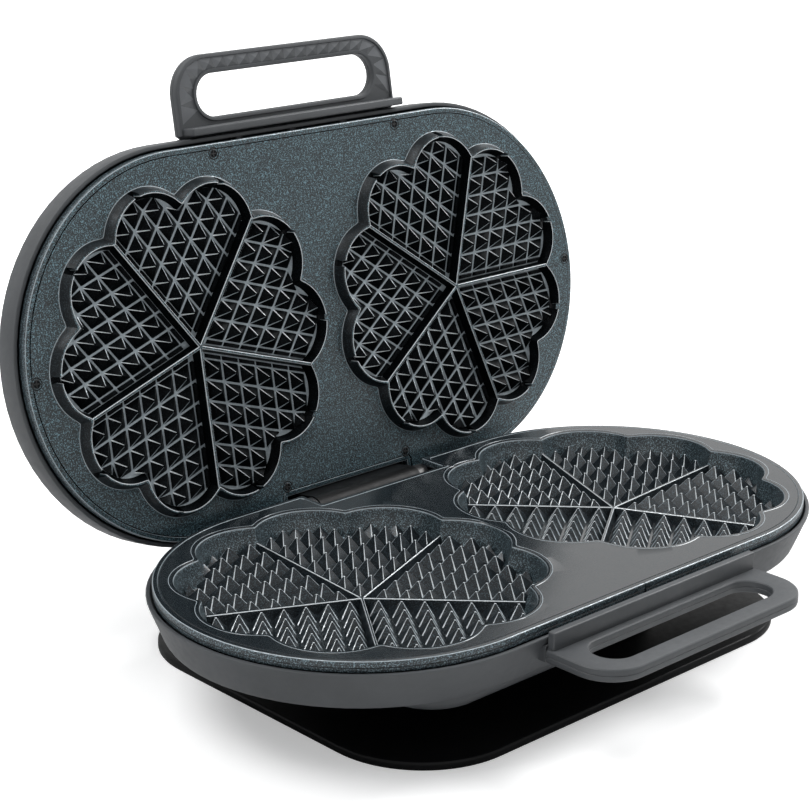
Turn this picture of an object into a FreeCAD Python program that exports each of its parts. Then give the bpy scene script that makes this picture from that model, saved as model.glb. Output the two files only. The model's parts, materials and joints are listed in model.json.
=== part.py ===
import FreeCAD, Part
import math
import os
import Sketcher

# Heart-waffle iron with two flower plates, modelled shut and then shown with its lid swung open.
# X runs along the hinge line, Y to the back, Z up from the table. All sizes are in millimetres.

DIMENSIONS = (
    # cooking plates
    ("plate_radius", 108.5, "radius of the round plate ends"),
    ("land_margin", 11.0, "land left between a flower and the plate edge"),
    ("middle_land", 1.0, "how far a flower's tip stays from the plate's middle"),
    ("land_height", 66.5, "lower land above the table"),
    ("plate_skirt", 6.0, "height of the plate's side wall"),
    ("plate_wall", 3.0, "thickness of the plate casting"),
    ("pan_wall", 2.2, "thickness under and around the recesses"),
    ("lobe_radius", 32.9, "radius of one lobe of the recess"),
    ("recess_depth", 14.4, "depth of the flower recess at its edge"),
    ("dish_slope", 0.065, "rise of the lower floor for each millimetre outwards"),
    ("recess_draft", 2.5, "how much the recess narrows to its floor"),
    ("separator_rise", 6.0, "height of the lower separators above the floor"),
    ("separator_base", 4.0, "separator width at its root"),
    ("separator_crest", 1.4, "separator width at its crest"),
    ("ring_clearance", 3.0, "room between the upper ring and the recess"),
    ("ring_height", 6.5, "height of the upper ring above its land"),
    ("ring_draft", 2.0, "how much the ring leans in on each side"),
    ("ring_crest", 1.6, "width of the ring's crest"),
    ("steam_slot", 2.6, "width of the steam slots in the ring"),
    ("steam_slot_depth", 3.0, "depth of the steam slots"),
    ("cell_pitch", 12.2, "spacing of the pyramids along a separator"),
    ("cell_gap", 1.3, "valley between two pyramids"),
    ("upper_cell_margin", 6.25, "first upper pyramid's distance from a separator"),
    ("lower_cell_margin", 2.4, "first lower pyramid's distance from a separator"),
    ("pyramid_height", 5.5, "height of the upper pyramids"),
    ("tip_gap", 1.5, "gap between upper and lower tips when shut"),
    ("closing_gap", 0.6, "gap between the two lands when shut"),
    ("blind_skin", 0.8, "metal left above the lower plate's screw holes"),
    # housings
    ("plate_gap", 1.0, "gap round the plate inside its housing"),
    ("housing_wall", 2.5, "wall of both housings"),
    ("rim_drop", 5.5, "distance from a land to the housing's rim"),
    ("housing_taper", 8.0, "how much the lower band narrows downwards"),
    ("belly_length", 280.0, "length of the belly under the band"),
    ("belly_depth", 188.0, "front to back size of the belly"),
    ("belly_corner", 30.0, "corner radius of the belly"),
    ("belly_height", 11.0, "height of the belly"),
    ("belly_round", 4.0, "rounding along the belly's lower edge"),
    ("wire_hole", 8.0, "radius of the hole for the leads in the belly"),
    ("lid_band", 14.5, "height of the lid's side band"),
    ("lid_cap", 7.0, "rise of the lid's back above its band"),
    ("lid_cap_inset", 6.0, "how far the lid's back steps in"),
    ("roof_step", 0.5, "shoulder of the lid's room below the band's top"),
    # base and neck
    ("base_length", 312.0, "length of the base plate"),
    ("base_depth", 244.0, "front to back size of the base plate"),
    ("base_corner", 57.0, "corner radius of the base plate"),
    ("base_thickness", 4.5, "thickness of the base plate"),
    ("base_round", 1.2, "rounding of the base plate's upper edge"),
    ("base_shift", 19.0, "base centre behind the plate centre"),
    ("foot_radius", 10.0, "radius of a rubber foot"),
    ("foot_height", 2.0, "thickness of a rubber foot"),
    ("foot_inset", 36.0, "foot centre from the base edges"),
    ("neck_length", 190.0, "length of the cord neck"),
    ("neck_depth", 120.0, "front to back size of the cord neck"),
    ("neck_corner", 30.0, "corner radius of the cord neck"),
    ("neck_wall", 3.0, "wall of the cord neck"),
    ("neck_shift", 10.0, "neck centre behind the plate centre"),
    ("boss_radius", 5.5, "radius of the neck's screw bosses"),
    ("boss_bite", 1.0, "how far a boss sinks into the neck's corner"),
    ("gland_radius", 7.0, "radius of the cord gland in the neck"),
    ("gland_bore", 3.8, "radius of the gland's cord hole"),
    ("gland_offset", 55.0, "gland to the right of the middle"),
    ("gland_rim", 2.0, "how far the gland's collar overlaps the neck"),
    ("gland_collar", 3.0, "height of the gland's collar"),
    # hinge
    ("hinge_inset", 1.0, "hinge axis ahead of the plates' rear edge"),
    ("hinge_drop", 11.5, "hinge axis below the lower land"),
    ("opening_angle", 100.0, "how far the lid stands open"),
    ("barrel_radius", 8.8, "radius of the lid's hinge barrel"),
    ("barrel_half", 39.0, "half the length of the barrel"),
    ("ear_width", 7.0, "width of each hinge ear"),
    ("ear_radius", 8.2, "radius of the ear round the pin"),
    ("ear_screw_rise", 5.0, "ear screw above the alcove's floor"),
    ("side_gap", 0.5, "side gap between barrel, ears and notch"),
    ("notch_room", 8.0, "room ahead of the barrel in the lower notch"),
    ("floor_gap", 0.7, "gap under the barrel"),
    ("alcove_gap", 0.2, "gap between the alcove's walls and their neighbours"),
    ("pin_radius", 3.0, "radius of the hinge pin"),
    ("pin_fit", 0.03, "running clearance on the pin"),
    ("bush_wall", 1.6, "wall of a hinge bush"),
    ("bush_length", 16.0, "length of a hinge bush"),
    ("arm_rise", 16.5, "top of the hinge arm above the lid's land"),
    ("arm_screw_inset", 16.0, "arm screws from the barrel's ends"),
    # handles
    ("handle_half", 80.0, "half the length of a handle"),
    ("handle_reach", 45.0, "how far a handle stands out"),
    ("handle_thickness", 7.0, "thickness of a handle"),
    ("handle_corner", 22.0, "outer corner radius of a handle"),
    ("handle_round", 1.2, "rounding of a handle's lower edges"),
    ("handle_seat", 0.3, "how far a handle's seat stands proud"),
    ("seat_margin", 1.0, "lower seat round its handle's root"),
    ("slot_half", 65.5, "half the length of the finger slot"),
    ("slot_width", 24.0, "width of the finger slot"),
    ("root_bar", 10.0, "bar between the slot and the housing"),
    ("handle_drop", 11.0, "inner face of a handle from its land"),
    ("flange_gap", 1.5, "edge of the heat flange from its land"),
    ("flange_wall", 4.5, "thickness of the heat flange"),
    ("flange_inset", 1.2, "heat flange's distance from the housing"),
    ("flange_half", 78.5, "half the length of the heat flange"),
    ("grip_margin", 2.6, "border round the grip inlay"),
    ("grip_thickness", 1.2, "thickness of the grip inlay"),
    ("handle_screw_x", 39.0, "outer handle screws from the middle"),
    # heating
    ("element_radius", 2.8, "radius of the tubular heating element"),
    ("element_ring", 66.0, "radius of the element's ring"),
    ("element_gap", 0.2, "gap between element and plate"),
    ("element_room", 0.5, "gap between element and housing floor"),
    ("terminal_radius", 2.0, "radius of an element's terminals"),
    ("terminal_length", 6.0, "length of an element's terminals"),
    ("terminal_room", 2.0, "room round a terminal in the upper shield"),
    ("clip_size", 10.0, "length of an element clip"),
    ("pad_half", 6.0, "half the width of the flat seat for the lower clips"),
    ("clip_wall", 1.4, "wall of an element clip"),
    ("shield_wall", 0.8, "thickness of the heat shields"),
    ("shield_gap", 5.0, "gap round the lower shield"),
    ("shield_stand", 5.5, "stand-off under the lower shield"),
    ("stand_inset", 20.0, "lower shield's stands from the belly's faces"),
    ("shield_rise", 11.0, "upper shield above the lid's land"),
    ("shield_margin", 22.0, "upper shield inside the plate's edge"),
    ("shield_post", 3.5, "radius of the shield posts"),
    # screws
    ("screw_radius", 1.8, "shank radius of the small screws"),
    ("screw_head", 3.3, "head radius of the small screws"),
    ("screw_head_height", 0.9, "head height of the plate screws"),
    ("screw_bite", 7.0, "how deep a small screw bites"),
    ("screw_fit", 0.1, "clearance round a screw"),
    ("bite_room", 1.0, "empty depth past a screw's tip"),
    ("head_recess", 1.4, "depth of the lower plate screws' recesses"),
    ("head_sink", 0.2, "how deep the base screws' heads lie"),
    ("post_radius", 3.8, "radius of the plate posts"),
    ("edge_inset", 5.6, "plate screws from the plate's edge"),
    ("front_screw_x", 68.0, "front screws from the middle"),
    ("rear_screw_x", 46.5, "rear screws from the middle"),
    ("rear_screw_inset", 16.2, "rear screws from the plate's rear edge"),
    ("lower_post_x", 60.0, "lower posts from the middle"),
    ("lower_post_inset", 9.6, "lower posts from the plate's edge"),
    ("case_screw_radius", 2.0, "shank radius of the case screws"),
    ("case_screw_head", 4.0, "head radius of the case screws"),
    ("case_head_height", 2.2, "head height of the case and handle screws"),
    ("case_screw_length", 12.0, "shank length of the case screws"),
    # controls on the lid's back
    ("knob_forward", 50.0, "knob ahead of the plate centre"),
    ("knob_radius", 20.0, "radius of the knob"),
    ("knob_height", 15.0, "height of the knob"),
    ("knob_skirt", 6.0, "height of the knob's round skirt"),
    ("knob_wing", 6.0, "half the thickness of the knob's wing"),
    ("knob_round", 2.0, "rounding of the knob's face"),
    ("knob_gap", 0.8, "gap under the knob"),
    ("knob_bite", 10.5, "how far the shaft goes into the knob"),
    ("shaft_radius", 3.0, "radius of the thermostat shaft"),
    ("shaft_fit", 0.05, "clearance round the shaft"),
    ("shaft_room", 0.5, "room round the shaft in the lid"),
    ("shaft_depth", 8.8, "how far the shaft goes into the thermostat"),
    ("dial_gap", 2.0, "gap between the knob and the dial ring"),
    ("dial_width", 9.0, "width of the dial ring"),
    ("dial_thickness", 0.7, "thickness of the dial ring"),
    ("thermostat_length", 30.0, "length of the thermostat"),
    ("thermostat_depth", 24.0, "front to back size of the thermostat"),
    ("thermostat_height", 11.0, "height of the thermostat"),
    ("lamp_radius", 4.2, "radius of a lamp lens"),
    ("lamp_rim", 1.2, "rim of a lamp lens"),
    ("lamp_proud", 0.8, "how far a lamp lens stands proud"),
    ("lamp_offset", 40.0, "lamps from the middle"),
    ("lamp_length", 9.0, "length of a lamp body"),
    ("fuse_radius", 2.5, "radius of the thermal fuse"),
    ("fuse_length", 18.0, "length of the thermal fuse"),
    ("block_length", 40.0, "length of the terminal block"),
    ("block_depth", 20.0, "front to back size of the terminal block"),
    ("block_height", 14.0, "height of the terminal block"),
    ("way_radius", 2.0, "radius of the terminal block's wire holes"),
    ("overshoot", 1.0, "how far a cut or a joined block runs past a face"),
)

LOBES = 10
HEARTS = 5
LOBE_STEP = 360.0 / LOBES
HEART_STEP = 360.0 / HEARTS

# Levels and places worked out from the driving dimensions
RECESS_REACH = "(Dims.plate_radius - Dims.land_margin)"
LOBE_RING = f"({RECESS_REACH} - Dims.lobe_radius)"
END_OFFSET = f"({RECESS_REACH} + Dims.middle_land)"
LAND = "Dims.land_height"
PLATE_UNDERSIDE = f"({LAND} - Dims.plate_wall)"
RECESS_FLOOR = f"({LAND} - Dims.recess_depth)"
PAN_BOTTOM = f"({RECESS_FLOOR} - Dims.pan_wall)"
JUNCTION_ALONG = f"{LOBE_RING} * cos({LOBE_STEP / 2} deg)"
JUNCTION_ACROSS = f"{LOBE_RING} * sin({LOBE_STEP / 2} deg)"
FLOOR_LOBE = "(Dims.lobe_radius - Dims.recess_draft)"
DISH_RADIUS = f"({JUNCTION_ALONG} + sqrt({FLOOR_LOBE}^2 - ({JUNCTION_ACROSS})^2))"
ELEMENT_SEAT = f"({PAN_BOTTOM} - Dims.dish_slope * ({DISH_RADIUS} - Dims.element_ring + Dims.pad_half))"
ELEMENT_Z = f"({ELEMENT_SEAT} - Dims.element_gap - Dims.element_radius)"
RIM_TOP = f"({LAND} - Dims.rim_drop)"
LEDGE = f"({ELEMENT_Z} - Dims.element_radius - Dims.element_room)"
BAND_BOTTOM = f"({LEDGE} - Dims.housing_wall)"
BELLY_BOTTOM = f"({BAND_BOTTOM} - Dims.belly_height)"
BELLY_FLOOR = f"({BELLY_BOTTOM} + Dims.housing_wall)"
SHIELD_SEAT = f"({BELLY_FLOOR} + Dims.shield_stand)"
BASE_TOP = "Dims.base_thickness"
HOUSING_INNER = "(Dims.plate_radius + Dims.plate_gap)"
HOUSING_RADIUS = f"({HOUSING_INNER} + Dims.housing_wall)"
BAND_RADIUS = f"({HOUSING_RADIUS} - Dims.housing_taper)"
BAND_INNER = f"({BAND_RADIUS} - Dims.housing_wall)"
HINGE_Y = "(Dims.plate_radius - Dims.hinge_inset)"
HINGE_Z = f"({LAND} - Dims.hinge_drop)"
EAR_HALF = "(Dims.barrel_half + Dims.side_gap + Dims.ear_width)"
EAR_SCREW_Z = f"({HINGE_Z} - Dims.barrel_radius - Dims.floor_gap + Dims.ear_screw_rise)"
NOTCH_HALF = f"({EAR_HALF} + Dims.side_gap)"
NOTCH_FRONT = f"({HINGE_Y} - Dims.barrel_radius - Dims.notch_room)"
ALCOVE_FLOOR = f"({HINGE_Z} - Dims.barrel_radius - Dims.floor_gap)"
ALCOVE_FRONT = f"({NOTCH_FRONT} - Dims.housing_wall)"
LID_LAND = f"({LAND} + Dims.closing_gap)"
LID_PLATE_BACK = f"({LID_LAND} + Dims.plate_wall)"
LID_RIM = f"({LID_LAND} + Dims.rim_drop)"
LID_BAND_TOP = f"({LID_RIM} + Dims.lid_band)"
LID_TOP = f"({LID_BAND_TOP} + Dims.lid_cap)"
LID_CEILING = f"({LID_TOP} - Dims.housing_wall)"
LID_NOTCH = f"({HINGE_Y} - Dims.barrel_radius - Dims.side_gap)"
LID_NOTCH_HALF = "(Dims.barrel_half + Dims.side_gap)"
ARM_TOP = f"({LID_LAND} + Dims.arm_rise)"
ARM_SCREW_X = "(Dims.barrel_half - Dims.arm_screw_inset)"
ARM_SCREW_Y = f"({HINGE_Y} - Dims.barrel_radius / 2)"
LID_ELEMENT_Z = f"({LID_PLATE_BACK} + Dims.element_gap + Dims.element_radius)"
UPPER_SHIELD = f"({LID_LAND} + Dims.shield_rise)"
HANDLE_WALL = f"({HOUSING_RADIUS} + Dims.handle_seat)"
SEAT_INNER = f"({BAND_INNER} - Dims.housing_wall)"
LOWER_GRIP = f"({LAND} - Dims.handle_drop)"
UPPER_GRIP = f"({LID_LAND} + Dims.handle_drop)"
LOWER_GRIP_MIDDLE = f"({LOWER_GRIP} - Dims.handle_thickness / 2)"
UPPER_GRIP_MIDDLE = f"({UPPER_GRIP} + Dims.handle_thickness / 2)"
HANDLE_MIDDLE_Y = f"(-{HANDLE_WALL} - Dims.handle_reach / 2 + Dims.handle_corner)"
SLOT_MIDDLE_Y = f"(-{HANDLE_WALL} - Dims.root_bar - Dims.slot_width / 2)"
SLOT_RUN = "(Dims.slot_half - Dims.slot_width / 2)"
FLANGE_FRONT = f"(-{HANDLE_WALL} - Dims.flange_inset - Dims.flange_wall)"
FRONT_SCREW_Y = "(Dims.plate_radius - Dims.edge_inset)"
REAR_SCREW_Y = "(Dims.plate_radius - Dims.rear_screw_inset)"
END_SCREW_X = f"({END_OFFSET} + Dims.plate_radius - Dims.edge_inset)"
LOWER_POST_Y = "(Dims.plate_radius - Dims.lower_post_inset)"
BOSS_STEP = "((Dims.neck_corner - Dims.neck_wall - Dims.boss_radius + Dims.boss_bite) * cos(45 deg))"
NECK_BOSS_X = f"(Dims.neck_length / 2 - Dims.neck_corner + {BOSS_STEP})"
NECK_BOSS_Y = f"(Dims.neck_depth / 2 - Dims.neck_corner + {BOSS_STEP})"
NECK_REAR = "(Dims.neck_shift + Dims.neck_depth / 2)"
SMALL_HOLE = "(Dims.screw_radius + Dims.screw_fit)"
CASE_HOLE = "(Dims.case_screw_radius + Dims.screw_fit)"
BLIND_DEPTH = "(Dims.screw_bite + Dims.bite_room)"
SHAFT_BORE = "(Dims.shaft_radius + Dims.shaft_fit)"
PIN_BORE = "(Dims.pin_radius + Dims.pin_fit)"
BUSH_OUTER = f"({PIN_BORE} + Dims.bush_wall)"

FLOWER_TURNS = ((-1, 0.0), (1, LOBE_STEP / 2))
TERMINAL_TURN = 15
CORNERS = ((1, 1), (-1, 1), (-1, -1), (1, -1))
LEFT_RIGHT = ((-1, "left"), (1, "right"))
HANDLE_SCREWS = tuple(f"{side} * Dims.handle_screw_x" for side in (-1, 0, 1))
LID_SCREWS = tuple(
    (f"{side} * {x}", y)
    for side in (-1, 1)
    for x, y in (
        ("Dims.front_screw_x", f"-{FRONT_SCREW_Y}"),
        (END_SCREW_X, "0"),
        ("Dims.rear_screw_x", REAR_SCREW_Y),
    )
)
CROSS_LENGTH = 1.2
CROSS_WIDTH = 0.22
UP = FreeCAD.Vector(0, 0, 1)
DOWN = FreeCAD.Vector(0, 0, -1)
RIGHT = FreeCAD.Vector(1, 0, 0)
BACK = FreeCAD.Vector(0, 1, 0)
FORWARD = FreeCAD.Vector(0, -1, 0)
NODES = []

doc = FreeCAD.newDocument("WaffleIron")
sheet = doc.addObject("Spreadsheet::Sheet", "Dims")
for row, (alias, size, note) in enumerate(DIMENSIONS, start=1):
    sheet.set(f"A{row}", note)
    sheet.set(f"B{row}", str(size))
    sheet.setAlias(f"B{row}", alias)
doc.recompute()


def value(expression):
    """Number that an expression of the sheet gives now."""
    return float(sheet.evalExpression(str(expression)))


def bind(thing, **expressions):
    """Ties properties to expressions; a double underscore stands for a dot."""
    for name, expression in expressions.items():
        thing.setExpression(name.replace("__", "."), str(expression))


def place(thing, x="0", y="0", z="0"):
    """Ties an object's position to three expressions."""
    bind(thing, Placement__Base__x=x, Placement__Base__y=y, Placement__Base__z=z)
    return thing


def node(thing, label):
    """Names an object as one finished sub-part."""
    thing.Label = label
    NODES.append(thing)
    return thing


def lid_node(thing, label):
    """Names a sub-part of the lid and swings it open about the hinge axis."""
    angle = "Dims.opening_angle * 1 deg"
    turn = FreeCAD.Rotation(FreeCAD.Vector(-1, 0, 0), value("Dims.opening_angle"))
    thing.Placement = FreeCAD.Placement(FreeCAD.Vector(), turn)
    bind(
        thing,
        Placement__Rotation__Angle=angle,
        Placement__Base__y=f"{HINGE_Y} * (1 - cos({angle})) - {HINGE_Z} * sin({angle})",
        Placement__Base__z=f"{HINGE_Z} * (1 - cos({angle})) + {HINGE_Y} * sin({angle})",
    )
    return node(thing, label)


# Primitive solids

def box(x, y, z, length, depth, height):
    """Box from its low corner and its three sizes."""
    thing = doc.addObject("Part::Box", "Box")
    bind(thing, Length=length, Width=depth, Height=height)
    return place(thing, x, y, z)


def middle_box(half, y, z, depth, height):
    """Box that is centred on the middle plane."""
    return box(f"-({half})", y, z, f"2 * ({half})", depth, height)


def cylinder(radius, height, x="0", y="0", z="0", axis=UP):
    """Cylinder that starts at a point and runs along an axis."""
    thing = doc.addObject("Part::Cylinder", "Cylinder")
    thing.Placement = FreeCAD.Placement(FreeCAD.Vector(), FreeCAD.Rotation(UP, axis))
    bind(thing, Radius=radius, Height=height)
    return place(thing, x, y, z)


def fuse(*things):
    """Union of several objects."""
    thing = doc.addObject("Part::MultiFuse", "Fuse")
    thing.Shapes = list(things)
    return thing


def cut(base, *tools):
    """First object with all the others taken away."""
    thing = doc.addObject("Part::Cut", "Cut")
    thing.Base = base
    thing.Tool = tools[0] if len(tools) == 1 else fuse(*tools)
    return thing


def group(things):
    """Separate solids that share one node."""
    thing = doc.addObject("Part::Compound", "Group")
    thing.Links = list(things)
    return thing


def tube(outer, inner, height, x="0", y="0", z="0", axis=UP):
    """Cylinder with a bore right through it."""
    return cut(cylinder(outer, height, x, y, z, axis), cylinder(inner, height, x, y, z, axis))


def screw(head, head_height, shank, length, x, y, z, axis):
    """Cross-head screw whose head's face sits at a point, with its shank running along the axis."""
    tip = cylinder(shank, f"({head_height}) + ({length})", axis=axis)
    body = fuse(cylinder(head, head_height, axis=axis), tip)
    long_side = f"({head}) * {CROSS_LENGTH}"
    short_side = f"({head}) * {CROSS_WIDTH}"
    bars = []
    for quarter in (0, 90):
        bar = doc.addObject("Part::Box", "Cross")
        turn = FreeCAD.Rotation(UP, axis).multiply(FreeCAD.Rotation(UP, quarter))
        bar.Placement = FreeCAD.Placement(FreeCAD.Vector(), turn)
        bind(bar, Length=long_side, Width=short_side, Height=f"({head_height}) / 2")
        along = turn.multVec(RIGHT)
        across = turn.multVec(BACK)
        corner = [
            f"-({a:.0f} * {long_side} + {b:.0f} * {short_side}) / 2" for a, b in zip(along, across)
        ]
        bars.append(place(bar, *corner))
    return place(cut(body, *bars), x, y, z)


def case_screw(x, y, z, axis):
    """Screw that joins the neck to the base or to the belly."""
    head = ("Dims.case_screw_head", "Dims.case_head_height")
    return screw(*head, "Dims.case_screw_radius", "Dims.case_screw_length", x, y, z, axis)


def small_screw(length, x, y, z, axis, head_height="Dims.case_head_height"):
    """Screw of the plates, handles and hinge."""
    return screw("Dims.screw_head", head_height, "Dims.screw_radius", length, x, y, z, axis)


# Sketched solids

def new_body(name):
    """Empty PartDesign body."""
    return doc.addObject("PartDesign::Body", name)


def new_sketch(body, level="0", forward="0"):
    """Sketch on the body's own XY plane, lifted to a level and moved along Y."""
    support = [item for item in body.Origin.OriginFeatures if item.Role == "XY_Plane"][0]
    sketch = body.newObject("Sketcher::SketchObject", "Sketch")
    sketch.AttachmentSupport = [(support, "")]
    sketch.MapMode = "FlatFace"
    bind(sketch, AttachmentOffset__Base__z=level, AttachmentOffset__Base__y=forward)
    return sketch


def size_constraint(sketch, name, expression, kind, *ends):
    """Adds a named driving constraint tied to an expression."""
    index = sketch.addConstraint(Sketcher.Constraint(kind, *ends, value(expression)))
    sketch.renameConstraint(index, name)
    bind(sketch, **{f"Constraints__{name}": expression})


def stadium(sketch, half, radius):
    """Long outline with two round ends, centred on the sketch's origin."""
    run = value(half)
    size = value(radius)
    quarter = math.pi / 2
    right = Part.Circle(FreeCAD.Vector(run, 0, 0), UP, size)
    left = Part.Circle(FreeCAD.Vector(-run, 0, 0), UP, size)
    sketch.addGeometry(Part.ArcOfCircle(right, -quarter, quarter))
    sketch.addGeometry(Part.LineSegment(FreeCAD.Vector(run, size, 0), FreeCAD.Vector(-run, size, 0)))
    sketch.addGeometry(Part.ArcOfCircle(left, quarter, 3 * quarter))
    sketch.addGeometry(Part.LineSegment(FreeCAD.Vector(-run, -size, 0), FreeCAD.Vector(run, -size, 0)))
    for first in range(4):
        sketch.addConstraint(Sketcher.Constraint("Tangent", first, 2, (first + 1) % 4, 1))
    sketch.addConstraint(Sketcher.Constraint("Symmetric", 0, 3, 2, 3, -1, 1))
    sketch.addConstraint(Sketcher.Constraint("PointOnObject", 0, 3, -1))
    size_constraint(sketch, "radius", radius, "Radius", 0)
    size_constraint(sketch, "half", half, "DistanceX", -1, 1, 0, 3)
    return sketch


def rounded_rectangle(sketch, length, depth, corner):
    """Rectangle with four equal round corners, centred on the sketch's origin."""
    across = value(length) / 2
    deep = value(depth) / 2
    size = value(corner)
    for index, (side_x, side_y) in enumerate(CORNERS):
        centre = FreeCAD.Vector(side_x * (across - size), side_y * (deep - size), 0)
        start = index * math.pi / 2
        sketch.addGeometry(Part.ArcOfCircle(Part.Circle(centre, UP, size), start, start + math.pi / 2))
    for index in range(4):
        begin = sketch.getPoint(index, 2)
        end = sketch.getPoint((index + 1) % 4, 1)
        sketch.addGeometry(Part.LineSegment(begin, end))
    for index in range(4):
        sketch.addConstraint(Sketcher.Constraint("Tangent", index, 2, 4 + index, 1))
        sketch.addConstraint(Sketcher.Constraint("Tangent", 4 + index, 2, (index + 1) % 4, 1))
    for index in range(1, 4):
        sketch.addConstraint(Sketcher.Constraint("Equal", 0, index))
    sketch.addConstraint(Sketcher.Constraint("Horizontal", 4))
    sketch.addConstraint(Sketcher.Constraint("Vertical", 5))
    sketch.addConstraint(Sketcher.Constraint("Symmetric", 0, 3, 2, 3, -1, 1))
    size_constraint(sketch, "corner", corner, "Radius", 0)
    size_constraint(sketch, "across", f"({length}) - 2 * ({corner})", "DistanceX", 1, 3, 0, 3)
    size_constraint(sketch, "deep", f"({depth}) - 2 * ({corner})", "DistanceY", 3, 3, 0, 3)
    return sketch


def disc(sketch, radius):
    """Circle about the sketch's origin."""
    sketch.addGeometry(Part.Circle(FreeCAD.Vector(), UP, value(radius)))
    sketch.addConstraint(Sketcher.Constraint("Coincident", 0, 3, -1, 1))
    size_constraint(sketch, "radius", radius, "Radius", 0)
    return sketch


def pad(body, sketch, length):
    """Raises a sketch by a length."""
    feature = body.newObject("PartDesign::Pad", "Pad")
    feature.Profile = sketch
    bind(feature, Length=length)
    return feature


def pocket_up(body, sketch, length):
    """Cuts upwards from a sketch and makes sure that something was cut."""
    doc.recompute()
    before = body.Shape.Volume
    feature = body.newObject("PartDesign::Pocket", "Pocket")
    feature.Profile = sketch
    feature.Reversed = True
    bind(feature, Length=length)
    doc.recompute()
    if not body.Shape.Volume < before:
        raise ValueError(f"the pocket in {body.Name} cuts nothing")
    return feature


def round_level(body, level, radius):
    """Rounds every edge that lies wholly at one level."""
    doc.recompute()
    height = value(level)
    base = body.Tip
    names = []
    for index, edge in enumerate(base.Shape.Edges, start=1):
        limits = edge.BoundBox
        if abs(limits.ZMin - height) < 1e-4 and abs(limits.ZMax - height) < 1e-4:
            names.append(f"Edge{index}")
    feature = body.newObject("PartDesign::Fillet", "Fillet")
    feature.Base = (base, names)
    bind(feature, Radius=radius)
    return feature


def stadium_block(name, low, low_radius, high, high_radius):
    """Stadium solid whose radius may change from its low to its high level."""
    body = new_body(name)
    lower = stadium(new_sketch(body, low), END_OFFSET, low_radius)
    upper = stadium(new_sketch(body, high), END_OFFSET, high_radius)
    feature = body.newObject("PartDesign::AdditiveLoft", "Loft")
    feature.Profile = lower
    feature.Sections = [upper]
    feature.Ruled = True
    return body


def rectangle_block(name, length, depth, corner, low, height, forward="0"):
    """Upright solid with a rounded-rectangle outline."""
    body = new_body(name)
    pad(body, rounded_rectangle(new_sketch(body, low, forward), length, depth, corner), height)
    return body


# Flower outlines and the cooking relief, worked out from the sheet in code

def direction(degrees):
    """Unit vector in plan."""
    return FreeCAD.Vector(math.cos(math.radians(degrees)), math.sin(math.radians(degrees)), 0)


def junction_reach(reach):
    """Radius at which two neighbouring lobes meet."""
    lobe_ring = value(LOBE_RING)
    half_step = math.radians(LOBE_STEP / 2)
    lobe = reach - lobe_ring
    return lobe_ring * math.cos(half_step) + math.sqrt(lobe ** 2 - (lobe_ring * math.sin(half_step)) ** 2)


def flower_middle(side, level=0.0):
    """Middle of the left or the right flower."""
    return FreeCAD.Vector(side * value(END_OFFSET), 0, level)


def flower_wire(side, turn, reach, level):
    """Closed outline of ten equal lobes whose tips stand at the given reach."""
    dip = junction_reach(reach)
    middle = flower_middle(side, level)
    edges = []
    for index in range(LOBES):
        tip = turn + index * LOBE_STEP
        start = middle + direction(tip - LOBE_STEP / 2) * dip
        end = middle + direction(tip + LOBE_STEP / 2) * dip
        edges.append(Part.Arc(start, middle + direction(tip) * reach, end).toShape())
    return Part.Wire(edges)


def flower_block(side, turn, low, low_reach, high, high_reach):
    """Flower-shaped solid with straight drafted walls."""
    wires = [flower_wire(side, turn, low_reach, low), flower_wire(side, turn, high_reach, high)]
    return Part.makeLoft(wires, True, True)


def separators(side, turn, length, root, crest, slope=0.0):
    """Five tapered walls between the hearts, which rise outwards from their root and crest levels."""
    middle = flower_middle(side)
    wide = value("Dims.separator_base") / 2
    narrow = value("Dims.separator_crest") / 2
    profile = [(-wide, root), (wide, root), (narrow, crest), (-narrow, crest), (-wide, root)]
    walls = []
    for index in range(HEARTS):
        along = direction(turn + LOBE_STEP / 2 + index * HEART_STEP)
        across = FreeCAD.Vector(-along.y, along.x, 0)
        points = [middle + across * offset + UP * level for offset, level in profile]
        walls.append(Part.Face(Part.makePolygon(points)).extrude((along + UP * slope) * length))
    return walls


def inside_flower(corner, lobes, reach):
    """Whether a point in plan lies inside a flower outline of the given reach."""
    lobe_ring = value(LOBE_RING)
    nearest = min((corner - lobe).Length for lobe in lobes)
    return corner.Length < lobe_ring or nearest < reach - lobe_ring


def pyramids(side, turn, reach, margin, root, tip, slope=0.0):
    """Rhombic pyramids that lie wholly inside an outline and sink towards the flower's middle."""
    middle = flower_middle(side)
    dish = value(DISH_RADIUS)
    pitch = value("Dims.cell_pitch")
    half = (pitch - value("Dims.cell_gap")) / 2
    first = margin + half
    count = int(reach / pitch) + 1
    solids = []
    for heart in range(HEARTS):
        start = turn + LOBE_STEP / 2 + heart * HEART_STEP
        sides = (direction(start), direction(start + HEART_STEP))
        lobes = [direction(start + (step + 0.5) * LOBE_STEP) * value(LOBE_RING) for step in (0, 1)]
        for row in range(count):
            for column in range(count):
                centre = sides[0] * (first + row * pitch) + sides[1] * (first + column * pitch)
                corners = [centre + sides[0] * (half * a) + sides[1] * (half * b) for a, b in CORNERS]
                if all(inside_flower(corner, lobes, reach) for corner in corners):
                    drop = slope * max(0.0, dish - centre.Length)
                    solids.append(pyramid(middle, corners, centre, root - drop, tip - drop))
    return solids


def pyramid(middle, corners, centre, root, tip):
    """One four-sided pyramid over a rhombus."""
    base = [middle + corner + UP * root for corner in corners]
    top = middle + centre + UP * tip
    faces = [Part.Face(Part.makePolygon(base + base[:1]))]
    for index in range(4):
        faces.append(Part.Face(Part.makePolygon([base[index], base[(index + 1) % 4], top, base[index]])))
    return Part.Solid(Part.Shell(faces))


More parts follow.
